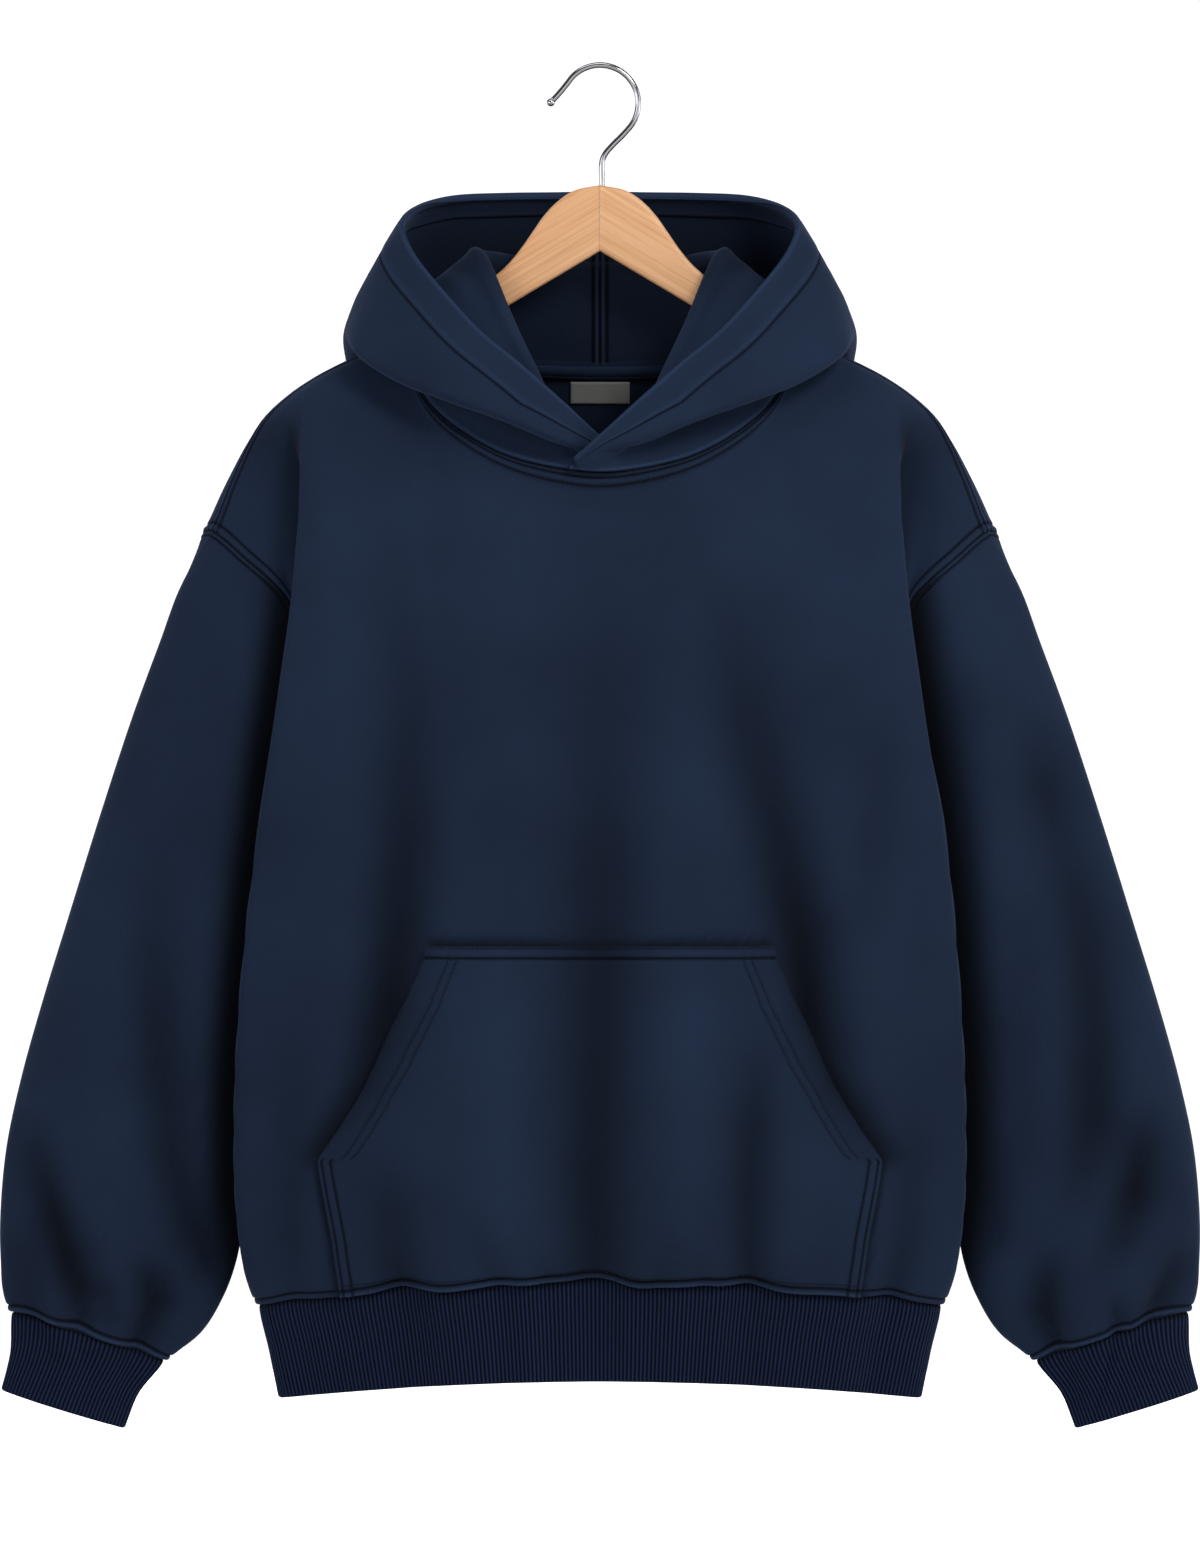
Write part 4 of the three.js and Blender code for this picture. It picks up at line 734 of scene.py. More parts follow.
def painted_shade(d, *lines):
    """Painted shade of seams: dark on the seam itself and each line of stitches, a painted highlight on the
    lip between.
    """
    dark = np.exp(-((d / 1.0) ** 2))
    for line in lines:
        dark = np.maximum(dark, np.exp(-(((d - line) / 1.05) ** 2)))
    return dark - 0.55 * np.exp(-(((d - 2.5) / 1.2) ** 2)) * (dark < 0.3)


def hem_lift(x, dips):
    lift = HEM_LIFT * (1 - (x / LEVELS[0][LEVEL_SIDE_X]) ** 2)
    for at, dip, width in dips:
        lift = lift - dip * np.exp(-(((x - at) / width) ** 2))
    return lift


class Panel:
    """A body panel as a fine grid: outer points, normals and the distances to its edges."""

    def __init__(self, sign, yoke, neck, folds, dips):
        coarse = panel_rows(sign, yoke, neck)
        up = Curves(coarse)
        total = up.measure()
        lengths = spread(total, PANEL_GRID[0], EDGE_STEPS, EDGE_STEPS)
        places = up.place_of(lengths)
        rows = up.at(places)
        self.row_place = places[:, 0]
        across = Curves(rows.transpose(1, 0, 2))
        width = across.measure()
        reach = spread(width, PANEL_GRID[1], EDGE_STEPS, EDGE_STEPS)
        grid = across.at(across.place_of(reach)).transpose(1, 0, 2)
        column_place = across.place_of(reach).T
        self.side = np.minimum(reach, width - reach).T
        self.low = read_rows(lengths, column_place)
        self.high = read_rows(total - lengths, column_place)
        self.flip = sign > 0
        x, y, z = grid[..., 0], grid[..., 1], grid[..., 2]
        fade = rise(1 - (z - LEVELS[0][0]) / HEM_LIFT_FADES_AT)
        z += fade * hem_lift(x, dips)
        self.column_place = column_place
        self.middle = (coarse.shape[1] - 1) / 2
        normals = normals_of(grid, False, self.flip)
        open_air = rise((np.abs(y) - 12) / 20)
        quiet = rise(self.high / 40)
        grid = grid - normals * (pressed(folds, x, z) * open_air * quiet)[..., None]
        inland = np.minimum(np.minimum(self.side, self.low), self.high)
        calm = rise((inland - 6) / 20) * rise((188 - np.abs(x)) / 25) * rise((z + 520) / 60)
        for _ in range(SMOOTHING_ROUNDS):
            mean = (grid[:-2, 1:-1] + grid[2:, 1:-1] + grid[1:-1, :-2] + grid[1:-1, 2:]) / 4
            grid[1:-1, 1:-1] += 0.6 * calm[1:-1, 1:-1, None] * (mean - grid[1:-1, 1:-1])
        self.base = grid
        self.normals = normals_of(grid, False, self.flip)
        # Painted shade in the folds' valleys and painted highlight on their raised ridges.
        self.painted_light_and_shade = PAINTED_FOLD_SHADE * pressed(folds, x, z) * open_air * quiet
        # Painted shade behind the body's edge fold beside the sleeve: all along below the underarm, in a band
        # above it.
        beside = np.abs(self.column_place - self.middle)
        under = self.row_place[:, None] < len(LEVELS) - 1
        low_painted_shade = rise((beside - 12.2) / 1.4)
        high_painted_shade = rise((beside - 12.05) / 0.8) * rise((15.4 - beside) / 2.4) * rise((-z - 222) / 46)
        self.painted_light_and_shade = np.maximum(self.painted_light_and_shade, np.where(under, low_painted_shade, high_painted_shade))
        # A painted highlight along the body's edge fold.
        edge_painted_highlight = 0.4 * bell(beside - 11.7, 0.3)
        edge_painted_highlight = edge_painted_highlight * rise((-z - 230) / 30) * rise((z + 620) / 240)
        self.painted_light_and_shade = self.painted_light_and_shade - edge_painted_highlight
        self.sew()

    def sew(self):
        armhole = self.row_place[:, None] > len(LEVELS) - 1
        away = np.abs(self.column_place - self.middle)
        neck = away < PANEL_STEPS[0]
        sides = np.where(armhole, profile(self.side, BODY_ARMHOLE), profile(self.side, SIDE_SEAM))
        tops = np.where(neck, profile(self.high, BODY_NECK), profile(self.high, SHOULDER))
        bottoms = profile(self.low, BODY_HEM)
        self.outer = self.base + self.normals * (sides + tops + bottoms)[..., None]
        # Painted shade on the seams and stitch lines and painted highlight on their lips, added to the
        # painted folds.
        seams = np.where(armhole, painted_shade(self.side, 6), painted_shade(self.side))
        seams = seams + np.where(neck, painted_shade(self.high, 3.6, 9.2), painted_shade(self.high, 4.6))
        self.shade = limited(seams + painted_shade(self.low, 6) + self.painted_light_and_shade)
        self.armhole_rows = np.nonzero(armhole[:, 0])[0]
        self.neck_columns = np.nonzero(neck[-1])[0]

    def object(self, name):
        inner = self.base - self.normals * FLEECE
        # The inner side gets 0.35 more painted shade.
        return wall(name, self.outer, inner, fleece, flip=self.flip, shade=self.shade, inside_painted_shade=0.35)


front = Panel(-1, FRONT_YOKE, NECK_FRONT, FRONT_FOLDS, FRONT_HEM_DIPS)

# Painted shadows of the pocket on the front panel: beside the hand openings, above the top and low at the
# sides.
fx, fy, fz = front.base[..., 0], front.base[..., 1], front.base[..., 2]
pocket_edge = np.interp(fz, *zip(*POCKET[::-1]))
pocket_away = (np.abs(fx) - pocket_edge) * 0.87
beside_slant = rise((fz + 755) / 20) * rise((-590 - fz) / 60)
pocket_shadow = 0.8 * bell(np.maximum(pocket_away, 0), 16) * beside_slant
over_top = np.clip((fz - POCKET[0][0]) / 5.5, 0, 9)
top_shadow = 0.75 * np.exp(-(over_top**2)) * rise((POCKET[0][1] + 4 - np.abs(fx)) / 6)
pocket_shadow = np.maximum(pocket_shadow, top_shadow * (fz > -640))
low_away = np.clip(np.abs(fx) - pocket_edge, 0, 99)
low_shadow = 0.8 * bell(low_away, 3.4) * (fz < -735) * rise((fz + 838) / 8)
front.shade = np.maximum(front.shade, np.maximum(pocket_shadow, low_shadow) * (fy < 0))

back = Panel(1, BACK_YOKE, NECK_BACK, BACK_FOLDS, BACK_HEM_DIPS)
pieces["front"] = front.object("hoodie_front")
pieces["back"] = back.object("hoodie_back")
SIX = EDGE_STEPS.index(6.0)
for panel in (front, back):
    rows = panel.armhole_rows
    for column in (SIX, -SIX - 1):
        threads["body"].add(panel.outer[rows, column], panel.normals[rows, column])
    neck_row = -EDGE_STEPS.index(9.2) - 1
    columns = panel.neck_columns
    threads["body"].add(panel.outer[neck_row, columns], panel.normals[neck_row, columns])
    threads["bands"].add(panel.outer[SIX, :], panel.normals[SIX, :])
    shoulder_row = -EDGE_STEPS.index(4.6) - 1
    for half in (np.arange(columns[0]), np.arange(columns[-1], panel.outer.shape[1])):
        threads["body"].add(panel.outer[shoulder_row, half], panel.normals[shoulder_row, half])


# Sleeves
def sleeve_ring(ring, shares):
    out_x, out_z, in_x, in_z, front_half, back_half = ring
    angle = shares * 2 * math.pi
    inward = (1 - np.cos(angle)) / 2
    half = np.where(angle < math.pi, -front_half, -back_half)
    y = half * np.sin(angle) * (1 - SLEEVE_PINCH * inward**1.5)
    return np.stack([out_x + (in_x - out_x) * inward, y, out_z + (in_z - out_z) * inward], axis=-1)


def armhole_loop(front_rows, back_rows):
    under = len(LEVELS) - 1
    down = front_rows[under:, -1][::-1]
    up = back_rows[under:, -1]
    return np.concatenate([down, up[1:-1]])


def loop_shares(loop, half):
    steps = np.linalg.norm(np.roll(loop, -1, axis=0) - loop, axis=1)
    reach = np.concatenate([[0], np.cumsum(steps)])
    halfway, total = reach[half], reach[-1]
    here = reach[:-1]
    return np.where(here <= halfway, 0.5 * here / halfway, 0.5 + 0.5 * (here - halfway) / (total - halfway))


SLEEVE_ARMHOLE = [(0, -1.5), (0.7, 0), (1.5, 0.6), (2.6, 0.6), (3.6, -0.5), (4.6, 0.1), (6, 0.2), (10.4, 0)]
SLEEVE_HEM = [
    (0, -1.2), (0.7, 0.2), (1.5, 0.9), (2.6, 1.2), (3.6, 0.9), (4.6, 0.4), (5.4, -0.6), (6, 0.1), (7.6, 0.5),
    (15, 0),
]

front_coarse = panel_rows(-1, FRONT_YOKE, NECK_FRONT)
back_coarse = panel_rows(1, BACK_YOKE, NECK_BACK)
loop = armhole_loop(front_coarse, back_coarse)
under_point = len(front_coarse) - len(LEVELS)
ring_shares = loop_shares(loop, under_point)
sleeve_coarse = np.stack([loop, *[sleeve_ring(ring, ring_shares) for ring in SLEEVE_RINGS]])
down_sleeve = Curves(sleeve_coarse)
sleeve_total = down_sleeve.measure()
sleeve_lengths = spread(sleeve_total, SLEEVE_GRID, EDGE_STEPS, EDGE_STEPS)
sleeve_rows = down_sleeve.at(down_sleeve.place_of(sleeve_lengths))
ROUND = 6
columns = sleeve_rows.shape[1] * ROUND
around = Curves(sleeve_rows.transpose(1, 0, 2), closed=True)
turns = np.repeat((np.arange(columns) / ROUND)[:, None], len(sleeve_rows), 1)
sleeve_base = around.at(turns).transpose(1, 0, 2)
sleeve_places = np.tile(np.arange(columns) / ROUND, (len(sleeve_rows), 1))
looped = lambda table: np.concatenate([table, table[:, :1]], axis=1)
from_armhole = read_rows(looped(sleeve_lengths), sleeve_places)
from_cuff = read_rows(looped(sleeve_total - sleeve_lengths), sleeve_places)
sleeve_normals = normals_of(sleeve_base, True, False)
under_seam = np.abs(np.arange(columns) - under_point * ROUND)[None, :] * np.ones((len(sleeve_base), 1))
raised = profile(from_armhole, SLEEVE_ARMHOLE) + profile(from_cuff, SLEEVE_HEM)
raised = raised - 0.9 * np.exp(-((under_seam / 0.8) ** 2))
fold_z = np.array([level[0] for level in LEVELS] + [row[3][2] for row in FRONT_YOKE])
fold_x = np.array([level[3] for level in LEVELS] + [row[3][0] for row in FRONT_YOKE])
hidden_by = np.interp(sleeve_base[..., 2], fold_z, fold_x)
# Painted shade on the sleeve's seam lines and painted highlight on their lips.
sleeve_seams = painted_shade(from_armhole, 3.6) + painted_shade(from_cuff, 5.4)
# Painted shade on the sleeve where it turns in beside and behind the body's edge.
painted_shade_by_body = rise((hidden_by + 31 - sleeve_base[..., 0]) / 29)
sleeves = {}
for name, turn, folds in (("left", same, LEFT_SLEEVE_FOLDS), ("right", flip_x, RIGHT_SLEEVE_FOLDS)):
    into = pressed(folds, sleeve_base[..., 0], sleeve_base[..., 2]) * rise(np.abs(sleeve_base[..., 1]) / 15)
    folded = sleeve_base - sleeve_normals * into[..., None]
    fresh = normals_of(folded, True, False)
    sleeve_outer = folded + fresh * raised[..., None]
    sleeve_inner = folded - fresh * FLEECE
    # The sleeve's folds add painted shade by their depth.
    sleeve_shade = limited(sleeve_seams + np.maximum(painted_shade_by_body, PAINTED_FOLD_SHADE * into))
    pieces["sleeve_" + name] = wall(
        "hoodie_sleeve_" + name, turn(sleeve_outer), turn(sleeve_inner), fleece,
        closed=True, flip=name == "right", shade=sleeve_shade,
    )
    sleeves[name] = folded
    for row, kind in ((EDGE_STEPS.index(3.6), "body"), (-EDGE_STEPS.index(5.4) - 1, "bands")):
        line = np.append(np.arange(columns), 0)
        threads[kind].add(turn(sleeve_outer[row, line]), turn(fresh[row, line]))


# Knitted bands
# Height across one rib, and painted shade in its groove and painted highlight on its top, at even steps.
RIB_HEIGHTS = np.array([-0.55, 0.2, 0.5, 0.6, 0.5, 0.2])
RIB_PAINTED_SHADE = np.array([1, 0.4, -0.15, -0.5, -0.15, 0.4])


def band(name, rings, flip):
    """A band between closed rings (top first): ribs run down it and its lower edge is folded."""
    rows = Curves(np.stack(rings))
    total = rows.measure()
    lengths = spread(total, 9, (0, 1.5, 2.3, 3.3, 4.6, 6.2), (0, 0.35, 0.8, 1.4, 2.2, 3.5))
    fine = rows.at(rows.place_of(lengths))
    ring = fine[len(fine) // 2]
    ring_length = np.linalg.norm(np.roll(ring, -1, axis=0) - ring, axis=1).sum()
    count = int(round(ring_length / RIB_PITCH)) * len(RIB_HEIGHTS)
    grid = np.stack([at_share(np.concatenate([ring, ring[:1]]), np.arange(count) / count) for ring in fine])
    normals = normals_of(grid, True, flip)
    rib = RIB_RISE * RIB_HEIGHTS[np.arange(count) % len(RIB_HEIGHTS)]
    from_low = total[0] - lengths[:, 0]
    back_off = rounded(from_low, 1.6)[:, None]
    fade = rise((from_low + 0.5) / 2)[:, None]
    outer = grid + normals * (rib[None, :] * fade - back_off)[..., None]
    inner = grid - normals * (RIB_CLOTH - back_off + 0.5 * RIB_RISE)[..., None]
    # Painted shade in the ribs' grooves and a painted shadow just below the seam above, painted highlight on
    # the rib tops.
    dark = np.tile(RIB_PAINTED_SHADE[np.arange(count) % len(RIB_PAINTED_SHADE)], (len(grid), 1))
    below_seam = np.maximum(lengths[:, :1] - 1.5, 0)
    dark = np.clip(dark + 0.9 * bell(below_seam, 2.6), -1, 1)
    return wall(name, outer, inner, knit, closed=True, flip=flip, shade=dark)


hem_edge = np.concatenate([front.base[0], back.base[0][-2:0:-1]])
from_middle = np.hypot(hem_edge[:, 0], hem_edge[:, 1])
pulled_in = lambda by: np.stack([1 - by / from_middle] * 2 + [np.ones(len(hem_edge))], axis=-1)
band_top = hem_edge * pulled_in(BAND_INSET) - (0, 0, SEAM_GAP)
narrower = BAND_BOTTOM["half_width"] / LEVELS[0][LEVEL_SIDE_X]
side_share = hem_edge[:, 0] / LEVELS[0][LEVEL_SIDE_X]
band_low = np.stack(
    [
        hem_edge[:, 0] * narrower,
        hem_edge[:, 1] * BAND_BOTTOM["depth_share"],
        BAND_BOTTOM["z"] + BAND_BOTTOM["lift"] * (1 - side_share**2),
    ],
    axis=-1,
)
band_mid = (band_top + band_low) / 2
band_tuck = band_top * pulled_in(TUCK_IN) + (0, 0, TUCK_UP)
pieces["hem_band"] = band("hoodie_hem_band", [band_tuck, band_top, band_mid, band_low], True)

end_centre = sleeve_coarse[-1].mean(axis=0)
cuff_middle = np.array([(CUFF_END[0] + CUFF_END[2]) / 2, 0, (CUFF_END[1] + CUFF_END[3]) / 2])
down = unit(cuff_middle - end_centre)
for name, turn in (("left", same), ("right", flip_x)):
    sleeve_end = sleeves[name][-1]
    outward = unit(sleeve_end - end_centre)
    cuff_top = sleeve_end - outward * BAND_INSET + down * SEAM_GAP
    cuff_low = sleeve_ring(CUFF_END, np.arange(len(sleeve_end)) / len(sleeve_end))
    cuff_tuck = cuff_top - outward * TUCK_IN - down * TUCK_UP
    cuff_mid = (cuff_top + cuff_low) / 2
    cuff_mid = cuff_mid + (cuff_mid.mean(axis=0) - cuff_mid) * CUFF_WAIST
    rings = [turn(cuff_tuck), turn(cuff_top), turn(cuff_mid), turn(cuff_low)]
    pieces["cuff_" + name] = band("hoodie_cuff_" + name, rings, name == "right")


# Hood
even_line = lambda points: line_through(points, [8] * (len(points) - 1))
STEPS = PANEL_STEPS[0]
neck_line = np.concatenate([
    at_share(even_line(NECK_FRONT), np.arange(STEPS) / STEPS),
    at_share(even_line(NECK_BACK), 1 - np.arange(STEPS + 1) / STEPS),
])


def neck_seam(at):
    if at < 0:
        return neck_seam(-at) * (-1, 1, 1)
    place = at * (len(neck_line) - 1)
    k = min(int(place + 1e-9), len(neck_line) - 2)
    return neck_line[k] + (neck_line[k + 1] - neck_line[k]) * (place - k)


hood_knots = np.array([row[0] for row in HOOD])
hood_values = np.array([[*row[1], *row[2], *row[3], *row[4:]] for row in HOOD], float)


def hood_reading(at):
    """Peak, trough, rim, widths and bends at a share of the neck seam."""
    last = len(hood_knots) - 1
    i = 0
    while i < last - 1 and at > hood_knots[i + 1]:
        i += 1
    chord = lambda k: (hood_values[k + 1] - hood_values[k]) / (hood_knots[k + 1] - hood_knots[k])

    def slope(k):
        if k == 0:
            return chord(0)
        if k == last:
            return chord(last - 1)
        before = hood_knots[k] - hood_knots[k - 1]
        after = hood_knots[k + 1] - hood_knots[k]
        return (chord(k - 1) * after + chord(k) * before) / (before + after)

    h = hood_knots[i + 1] - hood_knots[i]
    t = (at - hood_knots[i]) / h
    return hermite(t, h, hood_values[i], slope(i), hood_values[i + 1], slope(i + 1))


def hood_section(at):
    value = hood_reading(at)
    peak, trough, rim = value[:3], value[3:6], value[6:9]
    peak_width, trough_width, swell, curl = value[9:]
    seam = neck_seam(at)
    total = sum(HOOD_SPANS)
    if trough_width < 1:
        return at_share(np.stack([seam, peak, trough, rim]), np.arange(total + 1) / total)
    ahead, behind = hood_reading(min(at + 0.02, 1)), hood_reading(at - 0.02)
    outward = unit((trough - peak) * (1, 1, 0))

    def beside(p, run, width, way, fold):
        across = unit(outward - run * outward.dot(run))
        upward = unit(np.cross(across, run))
        upward = -upward if upward[2] < 0 else upward
        return p + across * way * width / 2 + upward * fold * width / 2

    peak_run, trough_run = unit(ahead[:3] - behind[:3]), unit(ahead[3:6] - behind[3:6])
    peak_in = beside(peak, peak_run, peak_width, -1, -1)
    peak_out = beside(peak, peak_run, peak_width, 1, -1)
    trough_in = beside(trough, trough_run, trough_width, -1, 1)
    trough_out = beside(trough, trough_run, trough_width, 1, 1)
    rolled = rise((at - 0.5) / 0.3)
    brow = rim + outward * curl + np.array([0, 0, (1 - rolled) * (-1.2 * curl - 4) + rolled * 3.6])
    layer = (trough_out + brow) / 2 + outward * swell
    stations = [
        seam, seam + (peak_in - seam) * 0.55, peak_in, peak, peak_out, (peak_out + trough_in) / 2,
        trough_in, trough, trough_out, layer, brow, rim,
    ]
    return line_through(stations, HOOD_SPANS)


HOOD_STEPS = (0, 0.7, 1.5, 2.6, 3.6, 4.6, 5.4, 6.6, 9)
RIM_STEPS = (0, 0.3, 0.8, 1.5, 2.5, 4, 8, 13, 18, 21.5, 22.8, 23.4, 24, 24.6, 25.2, 26.5, 30)
HOOD_NECK = [(0, -1.5), (0.7, -0.2), (1.5, 0.4), (3.6, 0.4), (6.6, 0)]
HOOD_CENTRE = [(0, -1.3), (0.7, 0), (1.5, 0.5), (2.6, 0.5), (3.6, 0.2), (4.6, -0.5), (5.4, 0), (9, 0)]


def hood_half(side):
    stations = sorted([hood_knots[0], *np.arange(2 * STEPS + 1) / (2 * STEPS), *HOOD_EXTRA])
    grid = np.stack([hood_section(at) for at in stations])
    for r, at in enumerate(stations):
        x = grid[r, :, 0].copy()
        lap = LAP_TIP * rise((LAP_FADES_X - x) / (LAP_FADES_X - LAP_TIP_X)) if at < 0.5 else np.zeros(len(x))
        grid[r, :, 0] = side * x
        grid[r, :, 1] -= side * lap
        if at == 1:
            grid[r, :, 0] = 0
        if lap[0] < 0.01:
            grid[r, 0] = neck_seam(at) * (side, 1, 1)
    back_along = Curves(grid)
    total = back_along.measure()
    lengths = spread(total, HOOD_GRID[0], (0, 0.8, 2), HOOD_STEPS)
    rows = back_along.at(back_along.place_of(lengths))
    round_it = Curves(rows.transpose(1, 0, 2))
    width = round_it.measure()
    keep = np.minimum(1, width / 120)
    reach = spread(width / keep, HOOD_GRID[1], HOOD_STEPS, RIM_STEPS) * keep
    fine = round_it.at(round_it.place_of(reach)).transpose(1, 0, 2)
    to_back = read_rows(total - lengths, round_it.place_of(reach).T)
    rim = ((width - reach) / keep).T
    seam = reach.T
    flip = side > 0
    normals = normals_of(fine, False, flip)
    hem = np.where(rim < HOOD_HEM, 1.0, 0.0) * rise((24.3 - rim) / 1.2)
    raised = profile(seam, HOOD_NECK) + profile(to_back, HOOD_CENTRE)
    stitched = bell(rim - HOOD_HEM, 0.9)
    raised = raised + 0.5 * hem - 0.8 * stitched - rounded(rim, 2.4)
    lowered = FLEECE + 1.6 * hem - 0.7 * stitched - rounded(rim, 2.4)
    lowered = lowered + profile(to_back, [(0, 0.2), (2.6, 1.2), (3.6, 0.9), (4.6, -0.4), (5.4, 0)])
    outer = fine + normals * raised[..., None]
    inner = fine - normals * lowered[..., None]
    # Painted shade on the seams and the hem's stitch line, painted highlights on the rim's edge and beside
    # the stitch line.
    dark = painted_shade(seam) + painted_shade(to_back, 4.6) + stitched
    dark = limited(dark - 0.45 * bell(rim - 1.4, 1.5) - 0.25 * bell(rim - 22, 1.6))
    # More painted shade on the inner side deep in the hood.
    painted_shade_far_in = 0.46 * rise((1 - to_back / total.mean() - 0.56) / 0.16)
    return outer, inner, normals, dark, flip, painted_shade_far_in.ravel()


for name, side in (("left", 1), ("right", -1)):
    outer, inner, normals, dark, flip, painted_shade_far_in = hood_half(side)
    pieces["hood_" + name] = wall(
        "hoodie_hood_" + name, outer, inner, fleece, flip=flip, shade=dark, inside_painted_shade=painted_shade_far_in
    )
    hem_column = outer.shape[1] - 1 - RIM_STEPS.index(24)
    rows = slice(20, -4)
    threads["hood"].add(outer[rows, hem_column], normals[rows, hem_column])
    threads["hood"].add(inner[rows, hem_column], -normals[rows, hem_column])
    seam_row = len(outer) - 1 - HOOD_STEPS.index(4.6)
    if side > 0:
        threads["hood"].add(inner[seam_row], -normals[seam_row])
    threads["hood"].add(outer[seam_row], normals[seam_row])


# Pocket, which lies on the front panel
class Ground:
    """A panel's outer surface read at places in the front view."""

    def __init__(self, points, xs, zs):
        self.xs, self.zs = xs, zs
        ys = np.empty((len(points), len(xs)))
        z_rows = np.empty_like(ys)
        for r, row in enumerate(points):
            ys[r] = np.interp(xs, row[:, 0], row[:, 1])
            z_rows[r] = np.interp(xs, row[:, 0], row[:, 2])
        self.y = np.empty((len(zs), len(xs)))
        for c in range(len(xs)):
            order = np.argsort(z_rows[:, c])
            self.y[:, c] = np.interp(zs, z_rows[order, c], ys[order, c])

    def read(self, x, z):
        fx = np.clip((x - self.xs[0]) / (self.xs[1] - self.xs[0]), 0, len(self.xs) - 1.001)
        fz = np.clip((z - self.zs[0]) / (self.zs[1] - self.zs[0]), 0, len(self.zs) - 1.001)
        i, j = fz.astype(int), fx.astype(int)
        u, v = fz - i, fx - j
        y = self.y
        nearer = y[i, j] * (1 - u) * (1 - v) + y[i + 1, j] * u * (1 - v)
        return nearer + y[i, j + 1] * (1 - u) * v + y[i + 1, j + 1] * u * v

    def place(self, x, z):
        """Points of the surface and its normals, which face the front."""
        y = self.read(x, z)
        dx = (self.read(x + 3, z) - self.read(x - 3, z)) / 6
        dz = (self.read(x, z + 3) - self.read(x, z - 3)) / 6
        normal = unit(np.stack([dx, -np.ones_like(dx), dz], axis=-1))
        return np.stack([x, y, z], axis=-1), normal


inside = front.base[:, np.abs(front.base[len(front.base) // 4, :, 0]) < 226]
ground = Ground(inside[: int(len(inside) * 0.72)], np.arange(-214, 214.1, 2.0), np.arange(-845, -560, 2.0))

pocket_z = np.array([row[0] for row in POCKET], float)[::-1]
pocket_half = np.array([row[1] for row in POCKET], float)[::-1]
half_at = lambda z: np.interp(z, pocket_z, pocket_half)
TOP_STEPS = (0, 0.3, 0.8, 1.5, 2.4, 3.6, 5, 6.6, 7.7, 8.3, 8.9, 10, 12)
POCKET_TOP = POCKET[0][0]
CORNER_DOWN = POCKET_TOP - POCKET_CORNER_Z
slant_rows, side_rows, hem_rows, middle_columns = POCKET_GRID
rows_z = POCKET_TOP - np.concatenate([
    TOP_STEPS, np.linspace(14, CORNER_DOWN - 1, slant_rows), np.linspace(CORNER_DOWN, 214, side_rows),
    np.linspace(215.2, 231.5, hem_rows),
])
SIDE_STEPS = (
    0, 0.3, 0.8, 1.5, 2.4, 2.9, 3.4, 3.9, 4.8, 6.5, 8.0, 8.8, 9.3, 9.8, 10.6, 12.5, 14.2, 15, 15.8, 17.4,
    19.4, 20.2, 20.9, 21.6, 23, 26,
)
hem_row = front.base[0]
rows_xz = []
for z in rows_z:
    half = half_at(z)
    lean = (half_at(z - 2) - half_at(z + 2)) / 4
    stretch = math.hypot(1, lean)
    near = np.array(SIDE_STEPS) * (stretch if z > POCKET_CORNER_Z else 1)
    middle = np.linspace(-half + near[-1], half - near[-1], middle_columns + 2)[1:-1]
    xs = np.concatenate([near - half, middle, (half - near)[::-1]])
    rows_xz.append(np.stack([xs, np.full(len(xs), z)], axis=-1))
pocket_xz = np.stack(rows_xz)
hem_z = np.interp(pocket_xz[..., 0], hem_row[:, 0], hem_row[:, 2])
depth_share = np.clip((pocket_xz[..., 1] + 780) / (rows_z[-1] + 780), 0, 1)
pocket_xz[..., 1] += depth_share**2 * (hem_z + 1 - rows_z[-1])
px, pz = pocket_xz[..., 0], pocket_xz[..., 1]
steps_row = np.array([*SIDE_STEPS, *[40] * middle_columns, *SIDE_STEPS[::-1]], float)
side_d = np.tile(steps_row, (len(rows_z), 1))
top_d = np.tile((POCKET_TOP - rows_z)[:, None], (1, side_d.shape[1]))
open_side = (rows_z > POCKET_CORNER_Z + 1)[:, None]
down_share = np.clip((POCKET_TOP - rows_z) / CORNER_DOWN, 0, 1)[:, None]
lip = np.sin(math.pi * down_share) ** 2 * np.exp(-side_d / 14)
share = px / np.maximum(half_at(pz), 1)
bulge = 1.4 * (1 - share**4) * np.sin(math.pi * np.clip((rows_z[0] - rows_z) / 232, 0, 1))[:, None]
gap = 0.5 + 2.8 * lip + bulge
at_ground, pocket_normals = ground.place(px, pz)
lower_side = [
    (0, 0), (1.5, 0.2), (2.4, 0.2), (3.4, -0.5), (4.8, 0.25), (6.5, 0.3), (8, 0.1), (9.3, -0.5), (10.6, 0),
    (12.5, 0),
]
slant_side = [
    (0, 0), (12.5, 0.1), (14.2, 0), (15, -0.5), (15.8, 0.1), (17.4, 0.3), (19.4, 0.1), (20.2, -0.5),
    (20.9, -0.1), (23, 0),
]
top_side = [(0, 0), (2.4, 0.6), (5, 0.8), (6.6, 0.5), (7.7, 0), (8.3, -0.7), (8.9, 0.1), (12, 0.2), (30, 0)]
hem_d = np.maximum(pz - hem_z, 0)
layers = np.where(open_side, profile(side_d, slant_side), profile(side_d, lower_side))
layers = layers + profile(top_d, top_side)
layers = layers + profile(hem_d, BODY_HEM)
edge_d = np.minimum(side_d, top_d)
folded = FLEECE + 1.4 * rise((14 - side_d) / 6) * open_side + 0.9 * rise((9 - top_d) / 1.5)
folded = folded + 0.6 * rise((11 - side_d) / 1.5) * ~open_side
pocket_far = at_ground + pocket_normals * (gap + folded + layers - rounded(edge_d, 1.6))[..., None]
pocket_near = at_ground + pocket_normals * (gap + rounded(edge_d, 1.2) * 0.6)[..., None]
